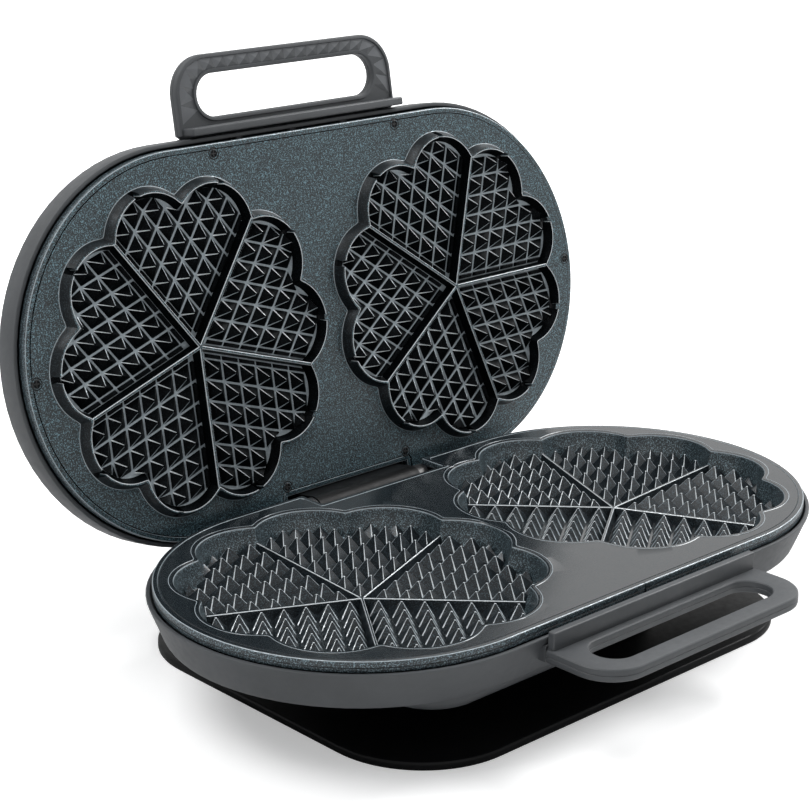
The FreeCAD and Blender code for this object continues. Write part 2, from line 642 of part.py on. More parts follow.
def stadium_slab(radius, low, high):
    """Straight stadium solid between two levels."""
    half = value(END_OFFSET)
    corners = {key: FreeCAD.Vector(key[0] * half, key[1] * radius, low) for key in CORNERS}
    right = Part.Arc(corners[1, -1], FreeCAD.Vector(half + radius, 0, low), corners[1, 1])
    left = Part.Arc(corners[-1, 1], FreeCAD.Vector(-half - radius, 0, low), corners[-1, -1])
    edges = [
        right.toShape(),
        Part.LineSegment(corners[1, 1], corners[-1, 1]).toShape(),
        left.toShape(),
        Part.LineSegment(corners[-1, -1], corners[1, -1]).toShape(),
    ]
    return Part.Face(Part.Wire(edges)).extrude(UP * (high - low))


def rear_notch(front):
    """Block that clears the hinge at the rear of a plate."""
    half = value(NOTCH_HALF)
    radius = value("Dims.plate_radius")
    return Part.makeBox(2 * half, radius, 2 * radius, FreeCAD.Vector(-half, value(front), 0))


def drill(points, radius, low, high):
    """Upright round holes."""
    return [Part.makeCylinder(radius, high - low, FreeCAD.Vector(x, y, low)) for x, y in points]


def code_feature(shape, name):
    """Document object for a shape that was worked out in code."""
    thing = doc.addObject("Part::Feature", name)
    thing.Shape = shape.removeSplitter()
    return thing


def element_pad(side):
    """Flat ring under a recess on which the heating element's clips sit."""
    ring = value("Dims.element_ring")
    half = value("Dims.pad_half")
    low = value(ELEMENT_SEAT)
    height = value("2 * Dims.pad_half * Dims.dish_slope + Dims.pan_wall / 2")
    middle = flower_middle(side, low)
    return Part.makeCylinder(ring + half, height, middle).cut(Part.makeCylinder(ring - half, height, middle))


def make_lower_plate():
    """Lower casting: land, skirt, two dished recesses, low separators and the pyramid field."""
    land = value(LAND)
    radius = value("Dims.plate_radius")
    wall = value("Dims.plate_wall")
    under = value(PLATE_UNDERSIDE)
    skirt = land - value("Dims.plate_skirt")
    floor = value(RECESS_FLOOR)
    reach = value(RECESS_REACH)
    draft = value("Dims.recess_draft")
    pan = value("Dims.pan_wall")
    over = value("Dims.overshoot")
    spread = draft * over / value("Dims.recess_depth")
    slope = value("Dims.dish_slope")
    dish = value(DISH_RADIUS)
    drop = slope * dish
    root = floor - pan / 2
    crest = floor - drop + value("Dims.separator_rise")
    limit = reach - draft - value("Dims.cell_gap")
    margin = value("Dims.lower_cell_margin")
    tip = value(f"{LID_LAND} - Dims.pyramid_height - Dims.tip_gap")
    shape = stadium_slab(radius, skirt, land).cut(stadium_slab(radius - wall, skirt, under))
    pans = []
    hollows = []
    relief = []
    for side, turn in FLOWER_TURNS:
        pans.append(flower_block(side, turn, floor - pan, reach - draft + pan, land - wall / 2, reach + pan))
        hollows.append(flower_block(side, turn, floor, reach - draft, land + over, reach + spread))
        pans.append(Part.makeCone(0, dish, drop, flower_middle(side, floor - pan - drop)))
        pans.append(element_pad(side))
        hollows.append(Part.makeCone(0, dish, drop, flower_middle(side, floor - drop)))
        relief += separators(side, turn, dish + pan / 2, root - drop, crest, slope)
        relief += pyramids(side, turn, limit, margin, root, tip, slope)
    shape = shape.fuse(pans).cut(hollows).fuse(relief).cut(rear_notch(NOTCH_FRONT))
    post_x = value("Dims.lower_post_x")
    post_y = value(LOWER_POST_Y)
    posts = [(side_x * post_x, side_y * post_y) for side_x, side_y in CORNERS]
    shape = shape.cut(drill(posts, value(SMALL_HOLE), under, land - value("Dims.blind_skin")))
    node(code_feature(shape, "LowerPlate"), "lower_cooking_plate")


def steam_slots(side, turn, reach, low):
    """Cuts through the tips of a ring that let steam out."""
    half = value("Dims.steam_slot") / 2
    thick = value("2 * Dims.ring_draft + Dims.ring_crest")
    over = value("Dims.overshoot")
    cuts = []
    for index in range(LOBES):
        along = direction(turn + index * LOBE_STEP)
        across = FreeCAD.Vector(-along.y, along.x, 0) * half
        near = flower_middle(side, low) + along * (reach - thick - over)
        far = flower_middle(side, low) + along * (reach + over)
        outline = Part.makePolygon([near - across, near + across, far + across, far - across, near - across])
        cuts.append(Part.Face(outline).extrude(UP * value("Dims.steam_slot_depth")))
    return cuts


def make_upper_plate():
    """Upper casting: flat land with two raised rings, steam slots, tall separators and pyramids."""
    land = value(LID_LAND)
    radius = value("Dims.plate_radius")
    wall = value("Dims.plate_wall")
    back = land + value("Dims.plate_skirt")
    reach = value(f"{RECESS_REACH} - Dims.ring_clearance")
    draft = value("Dims.ring_draft")
    crest = value("Dims.ring_crest")
    low = land - value("Dims.ring_height")
    tip = land - value("Dims.pyramid_height")
    root = land + wall / 2
    inner = reach - 2 * draft - crest
    limit = inner - value("Dims.cell_gap")
    margin = value("Dims.upper_cell_margin")
    shape = stadium_slab(radius, land, back).cut(stadium_slab(radius - wall, land + wall, back))
    relief = []
    for side, turn in FLOWER_TURNS:
        ring = flower_block(side, turn, low, reach - draft, root, reach)
        hollow = flower_block(side, turn, low, reach - draft - crest, root, inner)
        relief.append(ring.cut(hollow).cut(steam_slots(side, turn, reach, low)))
        relief += separators(side, turn, junction_reach(reach - draft) - crest / 2, root, low)
        relief += pyramids(side, turn, limit, margin, land, tip)
    shape = shape.fuse(relief).cut(rear_notch(LID_NOTCH))
    points = [(value(x), value(y)) for x, y in LID_SCREWS]
    fit = value("Dims.screw_fit")
    sunk = land + value("Dims.screw_head_height")
    shape = shape.cut(drill(points, value(SMALL_HOLE), land, land + wall))
    shape = shape.cut(drill(points, value("Dims.screw_head") + fit, land, sunk))
    shape = shape.cut(drill(points, value("Dims.post_radius") + 2 * fit, land + wall, back))
    lid_node(code_feature(shape, "UpperPlate"), "upper_cooking_plate")


# Base, feet and neck

def make_base():
    """Flat base plate with foot pockets and sunk holes for the neck screws."""
    outline = ("Dims.base_length", "Dims.base_depth", "Dims.base_corner")
    body = rectangle_block("BasePlate", *outline, "0", BASE_TOP, "Dims.base_shift")
    round_level(body, BASE_TOP, "Dims.base_round")
    foot_x = "(Dims.base_length / 2 - Dims.foot_inset)"
    foot_y = "(Dims.base_depth / 2 - Dims.foot_inset)"
    pockets = []
    feet = []
    screws = []
    for side_x, side_y in CORNERS:
        x = f"{side_x} * {foot_x}"
        y = f"Dims.base_shift + {side_y} * {foot_y}"
        pockets.append(cylinder("Dims.foot_radius + Dims.screw_fit", "Dims.foot_height", x, y))
        feet.append(cylinder("Dims.foot_radius", "Dims.foot_height", x, y))
        x = f"{side_x} * {NECK_BOSS_X}"
        y = f"Dims.neck_shift + {side_y} * {NECK_BOSS_Y}"
        sunk = "Dims.case_head_height + Dims.head_sink"
        pockets.append(cylinder("Dims.case_screw_head + Dims.screw_fit", sunk, x, y))
        pockets.append(cylinder(CASE_HOLE, BASE_TOP, x, y))
        screws.append(case_screw(x, y, "Dims.head_sink", UP))
    node(cut(body, *pockets), "base_plate")
    node(group(feet), "rubber_feet")
    node(group(screws), "base_screws")


def make_neck():
    """Hollow neck that the cord winds round, with four corner bosses and a hole for the cord gland."""
    height = f"({BELLY_BOTTOM} - {BASE_TOP})"
    outline = ("Dims.neck_length", "Dims.neck_depth", "Dims.neck_corner")
    outer = rectangle_block("NeckOuter", *outline, BASE_TOP, height, "Dims.neck_shift")
    inner = rectangle_block(
        "NeckInner",
        "Dims.neck_length - 2 * Dims.neck_wall",
        "Dims.neck_depth - 2 * Dims.neck_wall",
        "Dims.neck_corner - Dims.neck_wall",
        BASE_TOP,
        height,
        "Dims.neck_shift",
    )
    bosses = []
    holes = []
    screws = []
    for side_x, side_y in CORNERS:
        x = f"{side_x} * {NECK_BOSS_X}"
        y = f"Dims.neck_shift + {side_y} * {NECK_BOSS_Y}"
        bosses.append(cylinder("Dims.boss_radius", height, x, y, BASE_TOP))
        holes.append(cylinder(CASE_HOLE, height, x, y, BASE_TOP))
        screws.append(case_screw(x, y, f"{BELLY_FLOOR} + Dims.case_head_height", DOWN))
    gland_z = f"({BASE_TOP} + {height} / 2)"
    hole_y = f"{NECK_REAR} - Dims.neck_wall - Dims.overshoot"
    through = "Dims.neck_wall + Dims.gland_collar + 2 * Dims.overshoot"
    holes.append(cylinder("Dims.gland_radius", through, "Dims.gland_offset", hole_y, gland_z, BACK))
    node(cut(fuse(cut(outer, inner), *bosses), *holes), "cord_neck")
    node(group(screws), "neck_screws")
    sleeve = cylinder(
        "Dims.gland_radius - Dims.screw_fit",
        "Dims.neck_wall",
        "Dims.gland_offset",
        f"{NECK_REAR} - Dims.neck_wall",
        gland_z,
        BACK,
    )
    rim = "Dims.gland_radius + Dims.gland_rim"
    collar = cylinder(rim, "Dims.gland_collar", "Dims.gland_offset", NECK_REAR, gland_z, BACK)
    bore = cylinder("Dims.gland_bore", through, "Dims.gland_offset", hole_y, gland_z, BACK)
    node(cut(fuse(sleeve, collar), bore), "cord_gland")


def make_terminal_block():
    """Three-way terminal block on the base plate, inside the neck and ahead of the gland."""
    x = "Dims.gland_offset - Dims.block_length / 2"
    y = f"{NECK_REAR} - Dims.neck_wall - 2 * Dims.block_depth"
    block = box(x, y, BASE_TOP, "Dims.block_length", "Dims.block_depth", "Dims.block_height")
    way_z = f"{BASE_TOP} + Dims.block_height / 2"
    ways = []
    for share in (1, 3, 5):
        way_x = f"{x} + Dims.block_length * {share} / 6"
        ways.append(cylinder("Dims.way_radius", "Dims.block_depth", way_x, y, way_z, BACK))
    node(cut(block, *ways), "terminal_block")


# Lower housing

def lower_shell():
    """Tapered band over a belly, hollow and open at the top."""
    band = stadium_block("LowerBand", BAND_BOTTOM, BAND_RADIUS, RIM_TOP, HOUSING_RADIUS)
    belly = rectangle_block(
        "Belly",
        "Dims.belly_length",
        "Dims.belly_depth",
        "Dims.belly_corner",
        BELLY_BOTTOM,
        f"{LEDGE} - {BELLY_BOTTOM}",
    )
    round_level(belly, BELLY_BOTTOM, "Dims.belly_round")
    room = stadium_block("LowerRoom", LEDGE, BAND_INNER, RIM_TOP, HOUSING_INNER)
    belly_room = rectangle_block(
        "BellyRoom",
        "Dims.belly_length - 2 * Dims.housing_wall",
        "Dims.belly_depth - 2 * Dims.housing_wall",
        "Dims.belly_corner - Dims.housing_wall",
        BELLY_FLOOR,
        f"{LEDGE} - {BELLY_FLOOR}",
    )
    return cut(fuse(band, belly), room, belly_room)


def lower_alcove():
    """Walls round the hinge notch of the lower housing."""
    wall = "Dims.housing_wall"
    low = f"({ALCOVE_FLOOR} - {wall})"
    return middle_box(
        f"{NOTCH_HALF} + {wall}",
        ALCOVE_FRONT,
        low,
        f"{BAND_RADIUS} - {ALCOVE_FRONT} - Dims.overshoot",
        f"{PLATE_UNDERSIDE} - Dims.alcove_gap - {low}",
    )


def make_lower_housing():
    """Lower shell with hinge alcove, handle seat, posts and screw holes."""
    seat_low = f"({LOWER_GRIP} - Dims.handle_thickness - Dims.seat_margin)"
    seat_depth = f"({HANDLE_WALL} - {SEAT_INNER})"
    seat_height = "Dims.handle_thickness + 2 * Dims.seat_margin"
    blocks = [
        lower_alcove(),
        middle_box("Dims.flange_half", f"-{HANDLE_WALL}", seat_low, seat_depth, seat_height),
    ]
    notch = middle_box(
        NOTCH_HALF,
        f"{NOTCH_FRONT} - Dims.alcove_gap",
        ALCOVE_FLOOR,
        f"{HOUSING_RADIUS} - {NOTCH_FRONT} + Dims.overshoot",
        f"{LAND} - {ALCOVE_FLOOR}",
    )
    floor_hole_z = f"{BELLY_BOTTOM} - Dims.overshoot"
    floor_hole_depth = "Dims.housing_wall + 2 * Dims.overshoot"
    holes = [notch]
    plate_screws = []
    for side_x, side_y in CORNERS:
        x = f"{side_x} * Dims.lower_post_x"
        y = f"{side_y} * {LOWER_POST_Y}"
        blocks.append(cylinder("Dims.post_radius", f"{PLATE_UNDERSIDE} - {BAND_BOTTOM}", x, y, BAND_BOTTOM))
        holes.append(cylinder(SMALL_HOLE, LAND, x, y, BAND_BOTTOM))
        holes.append(cylinder("Dims.screw_head + Dims.screw_fit", "Dims.head_recess", x, y, BAND_BOTTOM))
        head_z = f"{BAND_BOTTOM} + Dims.head_recess - Dims.screw_head_height"
        length = f"{LAND} - Dims.blind_skin - Dims.screw_fit - {BAND_BOTTOM} - Dims.head_recess"
        plate_screws.append(small_screw(length, x, y, head_z, UP, "Dims.screw_head_height"))
        x = f"{side_x} * (Dims.belly_length / 2 - Dims.stand_inset)"
        y = f"{side_y} * (Dims.belly_depth / 2 - Dims.stand_inset)"
        blocks.append(cylinder("Dims.shield_post", f"{SHIELD_SEAT} - {BELLY_BOTTOM}", x, y, BELLY_BOTTOM))
        x = f"{side_x} * {NECK_BOSS_X}"
        y = f"Dims.neck_shift + {side_y} * {NECK_BOSS_Y}"
        holes.append(cylinder(CASE_HOLE, floor_hole_depth, x, y, floor_hole_z))
    holes.append(
        cylinder("Dims.wire_hole", floor_hole_depth, "Dims.gland_offset", "Dims.neck_shift", floor_hole_z)
    )
    handle_screws = []
    for x in HANDLE_SCREWS:
        hole_depth = f"{seat_depth} + Dims.overshoot"
        holes.append(cylinder(SMALL_HOLE, hole_depth, x, f"-{SEAT_INNER}", LOWER_GRIP_MIDDLE, FORWARD))
        head_y = f"-{SEAT_INNER} + Dims.case_head_height"
        handle_screws.append(
            small_screw(f"{seat_depth} + Dims.screw_bite", x, head_y, LOWER_GRIP_MIDDLE, FORWARD)
        )
    for side in (-1, 1):
        x = f"{side} * ({EAR_HALF} - Dims.ear_width / 2)"
        depth = "Dims.housing_wall + 2 * Dims.overshoot"
        holes.append(cylinder(SMALL_HOLE, depth, x, f"{ALCOVE_FRONT} - Dims.overshoot", EAR_SCREW_Z, BACK))
    node(cut(fuse(lower_shell(), *blocks), *holes), "lower_housing")
    node(group(plate_screws), "lower_plate_screws")
    node(group(handle_screws), "lower_handle_screws")


# Heating

def terminal_places(side):
    """Plan places of one element's two terminals, towards the middle of the iron."""
    x = f"{side} * ({END_OFFSET} - Dims.element_ring * cos({TERMINAL_TURN} deg))"
    return [(x, f"{turn} * Dims.element_ring * sin({TERMINAL_TURN} deg)") for turn in (-1, 1)]


def element(side, level, terminal_axis):
    """Tubular ring element with two cold terminals."""
    ring = doc.addObject("Part::Torus", "Ring")
    bind(ring, Radius1="Dims.element_ring", Radius2="Dims.element_radius")
    ring.Angle3 = 360 - 2 * TERMINAL_TURN
    inward = 180 if side > 0 else 0
    ring.Placement = FreeCAD.Placement(FreeCAD.Vector(), FreeCAD.Rotation(UP, inward + TERMINAL_TURN))
    place(ring, f"{side} * {END_OFFSET}", "0", level)
    ends = [
        cylinder("Dims.terminal_radius", "Dims.terminal_length", x, y, level, terminal_axis)
        for x, y in terminal_places(side)
    ]
    return fuse(ring, *ends)


def element_clips(level, low, height):
    """Saddle clips that hold both elements against their plate."""
    half = "(Dims.clip_size / 2)"
    saddles = []
    rings = []
    for side in (-1, 1):
        ring = doc.addObject("Part::Torus", "ClipRing")
        bind(ring, Radius1="Dims.element_ring", Radius2="Dims.element_radius + Dims.screw_fit")
        rings.append(place(ring, f"{side} * {END_OFFSET}", "0", level))
        for turn in (-1, 1):
            x = f"{side} * {END_OFFSET} - {half}"
            y = f"{turn} * Dims.element_ring - {half}"
            saddles.append(box(x, y, low, "Dims.clip_size", "Dims.clip_size", height))
    return cut(group(saddles), *rings)


def make_heating():
    """Ring elements and clips of both halves, and the lid's thermal fuse."""
    for side, word in LEFT_RIGHT:
        node(element(side, ELEMENT_Z, DOWN), f"lower_heating_element_{word}")
        lid_node(element(side, LID_ELEMENT_Z, UP), f"upper_heating_element_{word}")
    height = "(2 * Dims.element_radius + Dims.element_gap + Dims.clip_wall)"
    node(element_clips(ELEMENT_Z, f"{ELEMENT_SEAT} - {height}", height), "lower_element_clips")
    lid_node(element_clips(LID_ELEMENT_Z, LID_PLATE_BACK, height), "upper_element_clips")
    fuse_z = f"{LID_PLATE_BACK} + Dims.element_gap + Dims.fuse_radius"
    body = cylinder("Dims.fuse_radius", "Dims.fuse_length", "-Dims.fuse_length / 2", "0", fuse_z, RIGHT)
    lid_node(group([body]), "thermal_fuse")


def make_shields():
    """Thin heat shields of the belly and the lid."""
    inset = "2 * (Dims.housing_wall + Dims.shield_gap)"
    lower = rectangle_block(
        "LowerShield",
        f"Dims.belly_length - {inset}",
        f"Dims.belly_depth - {inset}",
        "Dims.belly_corner - Dims.housing_wall - Dims.shield_gap",
        SHIELD_SEAT,
        "Dims.shield_wall",
    )
    wire_hole = cylinder(
        "Dims.wire_hole", "2 * Dims.shield_wall", "Dims.gland_offset", "Dims.neck_shift", SHIELD_SEAT
    )
    node(cut(lower, wire_hole), "lower_heat_shield")
    body = new_body("UpperShield")
    outline = stadium(new_sketch(body, UPPER_SHIELD), END_OFFSET, "Dims.plate_radius - Dims.shield_margin")
    pad(body, outline, "Dims.shield_wall")
    openings = [
        cylinder("Dims.terminal_radius + Dims.terminal_room", "2 * Dims.shield_wall", x, y, UPPER_SHIELD)
        for side in (-1, 1)
        for x, y in terminal_places(side)
    ]
    lid_node(cut(body, *openings), "upper_heat_shield")


# Handles

def handle_block(name, level):
    """Flat loop with round corners and a long finger slot, standing out from the housing's front."""
    body = new_body(name)
    reach = "Dims.handle_reach + 2 * Dims.handle_corner"
    sketch = new_sketch(body, level, HANDLE_MIDDLE_Y)
    outline = rounded_rectangle(sketch, "2 * Dims.handle_half", reach, "Dims.handle_corner")
    pad(body, outline, "Dims.handle_thickness")
    slot = stadium(new_sketch(body, level, SLOT_MIDDLE_Y), SLOT_RUN, "Dims.slot_width / 2")
    pocket_up(body, slot, "Dims.handle_thickness")
    round_level(body, level, "Dims.handle_round")
    trim_depth = "Dims.handle_reach + 2 * Dims.handle_corner"
    trim = middle_box("2 * Dims.handle_half", f"-{HANDLE_WALL}", level, trim_depth, "Dims.handle_thickness")
    return cut(body, trim)


def handle_screw_holes(level):
    """Three blind screw holes in a handle's root."""
    return [cylinder(SMALL_HOLE, BLIND_DEPTH, x, f"-{HANDLE_WALL}", level, FORWARD) for x in HANDLE_SCREWS]


def grip_inlay(grow):
    """Flat loop set into the inner face of the upper handle, ahead of the heat flange."""
    body = new_body("GripInlay")
    margin = f"(Dims.grip_margin - {grow})"
    length = f"2 * Dims.handle_half - 2 * {margin}"
    reach = f"Dims.handle_reach + 2 * Dims.handle_corner - 2 * {margin}"
    sketch = new_sketch(body, UPPER_GRIP, HANDLE_MIDDLE_Y)
    outline = rounded_rectangle(sketch, length, reach, f"Dims.handle_corner - {margin}")
    pad(body, outline, "Dims.grip_thickness")
    slot = stadium(new_sketch(body, UPPER_GRIP, SLOT_MIDDLE_Y), SLOT_RUN, f"Dims.slot_width / 2 + {margin}")
    pocket_up(body, slot, "Dims.grip_thickness")
    trim_depth = "Dims.handle_reach + 2 * Dims.handle_corner"
    trim = middle_box(
        "2 * Dims.handle_half", f"{FLANGE_FRONT} - {margin}", UPPER_GRIP, trim_depth, "Dims.grip_thickness"
    )
    return cut(body, trim)


def make_handles():
    """Both handles with their heat flanges, and the grip inlay of the upper one."""
    flange_height = "(Dims.handle_drop - Dims.flange_gap + Dims.overshoot)"
    lower_flange = middle_box(
        "Dims.flange_half", FLANGE_FRONT, f"{LOWER_GRIP} - Dims.overshoot", "Dims.flange_wall", flange_height
    )
    lower_level = f"({LOWER_GRIP} - Dims.handle_thickness)"
    lower = fuse(handle_block("LowerHandle", lower_level), lower_flange)
    node(cut(lower, *handle_screw_holes(LOWER_GRIP_MIDDLE)), "lower_handle")
    upper_flange = middle_box(
        "Dims.flange_half", FLANGE_FRONT, f"{LID_LAND} + Dims.flange_gap", "Dims.flange_wall", flange_height
    )
    upper = fuse(handle_block("UpperHandle", UPPER_GRIP), upper_flange)
    pocket = grip_inlay("Dims.screw_fit")
    lid_node(cut(upper, *handle_screw_holes(UPPER_GRIP_MIDDLE), pocket), "upper_handle")
    lid_node(grip_inlay("0"), "handle_grip_inlay")


# Hinge

def make_ears():
    """Hinge pin and the two ears that carry it, screwed to the front of the lower alcove."""
    pin_half = f"({EAR_HALF} - Dims.side_gap)"
    node(cylinder("Dims.pin_radius", f"2 * {pin_half}", f"-{pin_half}", HINGE_Y, HINGE_Z, RIGHT), "hinge_pin")
    depth = f"{HINGE_Y} + Dims.ear_radius - {NOTCH_FRONT}"
    screws = []
    for side, word in LEFT_RIGHT:
        start = f"-{EAR_HALF}" if side < 0 else f"({EAR_HALF} - Dims.ear_width)"
        foot = box(start, NOTCH_FRONT, ALCOVE_FLOOR, "Dims.ear_width", depth, f"{HINGE_Z} - {ALCOVE_FLOOR}")
        eye = cylinder("Dims.ear_radius", "Dims.ear_width", start, HINGE_Y, HINGE_Z, RIGHT)
        bore = cylinder(PIN_BORE, "Dims.ear_width", start, HINGE_Y, HINGE_Z, RIGHT)
        x = f"{start} + Dims.ear_width / 2"
        hole = cylinder(SMALL_HOLE, BLIND_DEPTH, x, NOTCH_FRONT, EAR_SCREW_Z, BACK)
        node(cut(fuse(foot, eye), bore, hole), f"hinge_ear_{word}")
        head_y = f"{ALCOVE_FRONT} - Dims.case_head_height"
        screws.append(small_screw("Dims.housing_wall + Dims.screw_bite", x, head_y, EAR_SCREW_Z, BACK))
    node(group(screws), "hinge_ear_screws")


def make_lid_arm():
    """The lid's hinge arm with its barrel, two bushes and two screws."""
    half = "Dims.barrel_half"
    barrel = cylinder("Dims.barrel_radius", f"2 * {half}", f"-{half}", HINGE_Y, HINGE_Z, RIGHT)
    arm = middle_box(
        half, f"{HINGE_Y} - Dims.barrel_radius", HINGE_Z, "2 * Dims.barrel_radius", f"{ARM_TOP} - {HINGE_Z}"
    )
    holes = [cylinder(f"{BUSH_OUTER} + Dims.pin_fit", f"2 * {half}", f"-{half}", HINGE_Y, HINGE_Z, RIGHT)]
    screws = []
    for side in (-1, 1):
        x = f"{side} * {ARM_SCREW_X}"
        holes.append(cylinder(SMALL_HOLE, BLIND_DEPTH, x, ARM_SCREW_Y, ARM_TOP, DOWN))
        head_z = f"{ARM_TOP} + Dims.housing_wall + Dims.case_head_height"
        screws.append(small_screw("Dims.housing_wall + Dims.screw_bite", x, ARM_SCREW_Y, head_z, DOWN))
    lid_node(cut(fuse(barrel, arm), *holes), "lid_hinge_arm")
    lid_node(group(screws), "hinge_arm_screws")
    bushes = [
        tube(BUSH_OUTER, PIN_BORE, "Dims.bush_length", start, HINGE_Y, HINGE_Z, RIGHT)
        for start in (f"-{half}", f"{half} - Dims.bush_length")
    ]
    lid_node(group(bushes), "hinge_bushes")


# Lid housing and controls

def lid_shell():
    """Upright band with a stepped-in back, hollow and open towards the plate."""
    cap_radius = f"({HOUSING_RADIUS} - Dims.lid_cap_inset)"
    shoulder = f"({LID_BAND_TOP} - Dims.roof_step)"
    band = stadium_block("LidBand", LID_RIM, HOUSING_RADIUS, LID_BAND_TOP, HOUSING_RADIUS)
    cap = stadium_block("LidCap", LID_BAND_TOP, HOUSING_RADIUS, LID_TOP, cap_radius)
    room = stadium_block("LidRoom", LID_RIM, HOUSING_INNER, shoulder, HOUSING_INNER)
    roof_radius = f"{cap_radius} - Dims.housing_wall"
    roof = stadium_block("LidRoof", shoulder, HOUSING_INNER, LID_CEILING, roof_radius)
    return cut(fuse(band, cap), room, roof)


def make_upper_housing():
    """Lid shell with hinge alcove, handle seat, posts and holes for the screws and controls."""
    wall = "Dims.housing_wall"
    over = "Dims.overshoot"
    blocks = [
        middle_box(
            f"{LID_NOTCH_HALF} + {wall}",
            f"{LID_NOTCH} - {wall}",
            LID_RIM,
            f"{HOUSING_INNER} + {over} - {LID_NOTCH} + {wall}",
            f"{ARM_TOP} + {wall} - {LID_RIM}",
        ),
        middle_box(
            "Dims.flange_half",
            f"-{HANDLE_WALL}",
            UPPER_GRIP,
            f"Dims.handle_seat + {wall} / 2",
            "Dims.handle_thickness",
        ),
    ]
    holes = [middle_box(LID_NOTCH_HALF, LID_NOTCH, LAND, HOUSING_RADIUS, f"{ARM_TOP} - {LAND}")]
    plate_screws = []
    for x, y in LID_SCREWS:
        rise = f"{LID_CEILING} - {LID_PLATE_BACK} + {over}"
        blocks.append(cylinder("Dims.post_radius", rise, x, y, LID_PLATE_BACK))
        holes.append(cylinder(SMALL_HOLE, BLIND_DEPTH, x, y, LID_PLATE_BACK))
        length = "Dims.plate_wall - Dims.screw_head_height + Dims.screw_bite"
        plate_screws.append(small_screw(length, x, y, LID_LAND, UP, "Dims.screw_head_height"))
    post_low = f"({UPPER_SHIELD} + Dims.shield_wall)"
    post_y = "(Dims.plate_radius - Dims.shield_margin - 2 * Dims.shield_post)"
    for side_x, side_y in CORNERS:
        rise = f"{LID_CEILING} - {post_low} + {over}"
        blocks.append(
            cylinder("Dims.shield_post", rise, f"{side_x} * {END_OFFSET}", f"{side_y} * {post_y}", post_low)
        )
    roof_low = f"{LID_CEILING} - {over}"
    through = f"{wall} + 2 * {over}"
    control_y = "-Dims.knob_forward"
    for side in (-1, 1):
        x = f"{side} * {ARM_SCREW_X}"
        holes.append(cylinder(SMALL_HOLE, through, x, ARM_SCREW_Y, f"{ARM_TOP} - {over}"))
        x = f"{side} * Dims.lamp_offset"
        holes.append(cylinder("Dims.lamp_radius + Dims.screw_fit", through, x, control_y, roof_low))
    holes.append(cylinder("Dims.shaft_radius + Dims.shaft_room", through, "0", control_y, roof_low))
    handle_screws = []
    for x in HANDLE_SCREWS:
        start_y = f"-{HOUSING_INNER} + {over}"
        hole_depth = f"{HANDLE_WALL} - {HOUSING_INNER} + 2 * {over}"
        holes.append(cylinder(SMALL_HOLE, hole_depth, x, start_y, UPPER_GRIP_MIDDLE, FORWARD))
        head_y = f"-{HOUSING_INNER} + Dims.case_head_height"
        length = f"{HANDLE_WALL} - {HOUSING_INNER} + Dims.screw_bite"
        handle_screws.append(small_screw(length, x, head_y, UPPER_GRIP_MIDDLE, FORWARD))
    lid_node(cut(fuse(lid_shell(), *blocks), *holes), "upper_housing")
    lid_node(group(plate_screws), "upper_plate_screws")
    lid_node(group(handle_screws), "upper_handle_screws")


def make_controls():
    """Thermostat with its shaft, and the winged knob and dial ring on the lid's back."""
    y = "-Dims.knob_forward"
    low = f"({LID_CEILING} - Dims.thermostat_height)"
    case = box(
        "-Dims.thermostat_length / 2",
        f"{y} - Dims.thermostat_depth / 2",
        low,
        "Dims.thermostat_length",
        "Dims.thermostat_depth",
        "Dims.thermostat_height",
    )
    lid_node(cut(case, cylinder(SHAFT_BORE, "Dims.thermostat_height", "0", y, low)), "thermostat")
    knob_low = f"({LID_TOP} + Dims.knob_gap)"
    knob_top = f"({knob_low} + Dims.knob_height)"
    shaft_low = f"({LID_CEILING} - Dims.shaft_depth)"
    shaft = cylinder("Dims.shaft_radius", f"{knob_low} + Dims.knob_bite - {shaft_low}", "0", y, shaft_low)
    lid_node(group([shaft]), "thermostat_shaft")
    body = new_body("Knob")
    pad(body, disc(new_sketch(body, knob_low, y), "Dims.knob_radius"), "Dims.knob_height")
    round_level(body, knob_top, "Dims.knob_round")
    scoop_z = f"{knob_low} + Dims.knob_skirt"
    scoops = [
        middle_box("Dims.knob_radius", start, scoop_z, "Dims.knob_radius", "Dims.knob_height")
        for start in (f"{y} + Dims.knob_wing", f"{y} - Dims.knob_wing - Dims.knob_radius")
    ]
    lid_node(cut(body, cylinder(SHAFT_BORE, "Dims.knob_bite", "0", y, knob_low), *scoops), "control_knob")
    ring_inner = "(Dims.knob_radius + Dims.dial_gap)"
    ring = tube(f"{ring_inner} + Dims.dial_width", ring_inner, "Dims.dial_thickness", "0", y, LID_TOP)
    lid_node(group([ring]), "dial_ring")


def make_lamps():
    """Two indicator lamps behind lenses in the lid's back."""
    y = "-Dims.knob_forward"
    lamps = []
    for side, word in ((-1, "power"), (1, "ready")):
        x = f"{side} * Dims.lamp_offset"
        stem = cylinder("Dims.lamp_radius", "Dims.housing_wall + Dims.lamp_proud", x, y, LID_CEILING)
        rim = cylinder("Dims.lamp_radius + Dims.lamp_rim", "Dims.lamp_proud", x, y, LID_TOP)
        lid_node(fuse(stem, rim), f"{word}_lamp_lens")
        low = f"{LID_CEILING} - Dims.lamp_length"
        lamps.append(cylinder("Dims.lamp_radius - Dims.lamp_proud", "Dims.lamp_length", x, y, low))
    lid_node(group(lamps), "indicator_lamps")


def check_document():
    """Stops if any object failed or any sub-part is empty or invalid."""
    doc.recompute()
    for thing in doc.Objects:
        if "Invalid" in thing.State or "Error" in thing.State:
            raise ValueError(f"{thing.Name} ({thing.Label}) failed: {thing.State}")
        if thing.isDerivedFrom("PartDesign::Body") and not thing.Shape.isValid():
            raise ValueError(f"{thing.Name} is not a valid solid")
    for thing in NODES:
        if thing.Shape.isNull() or not thing.Shape.isValid():
            raise ValueError(f"{thing.Label} has no valid shape")


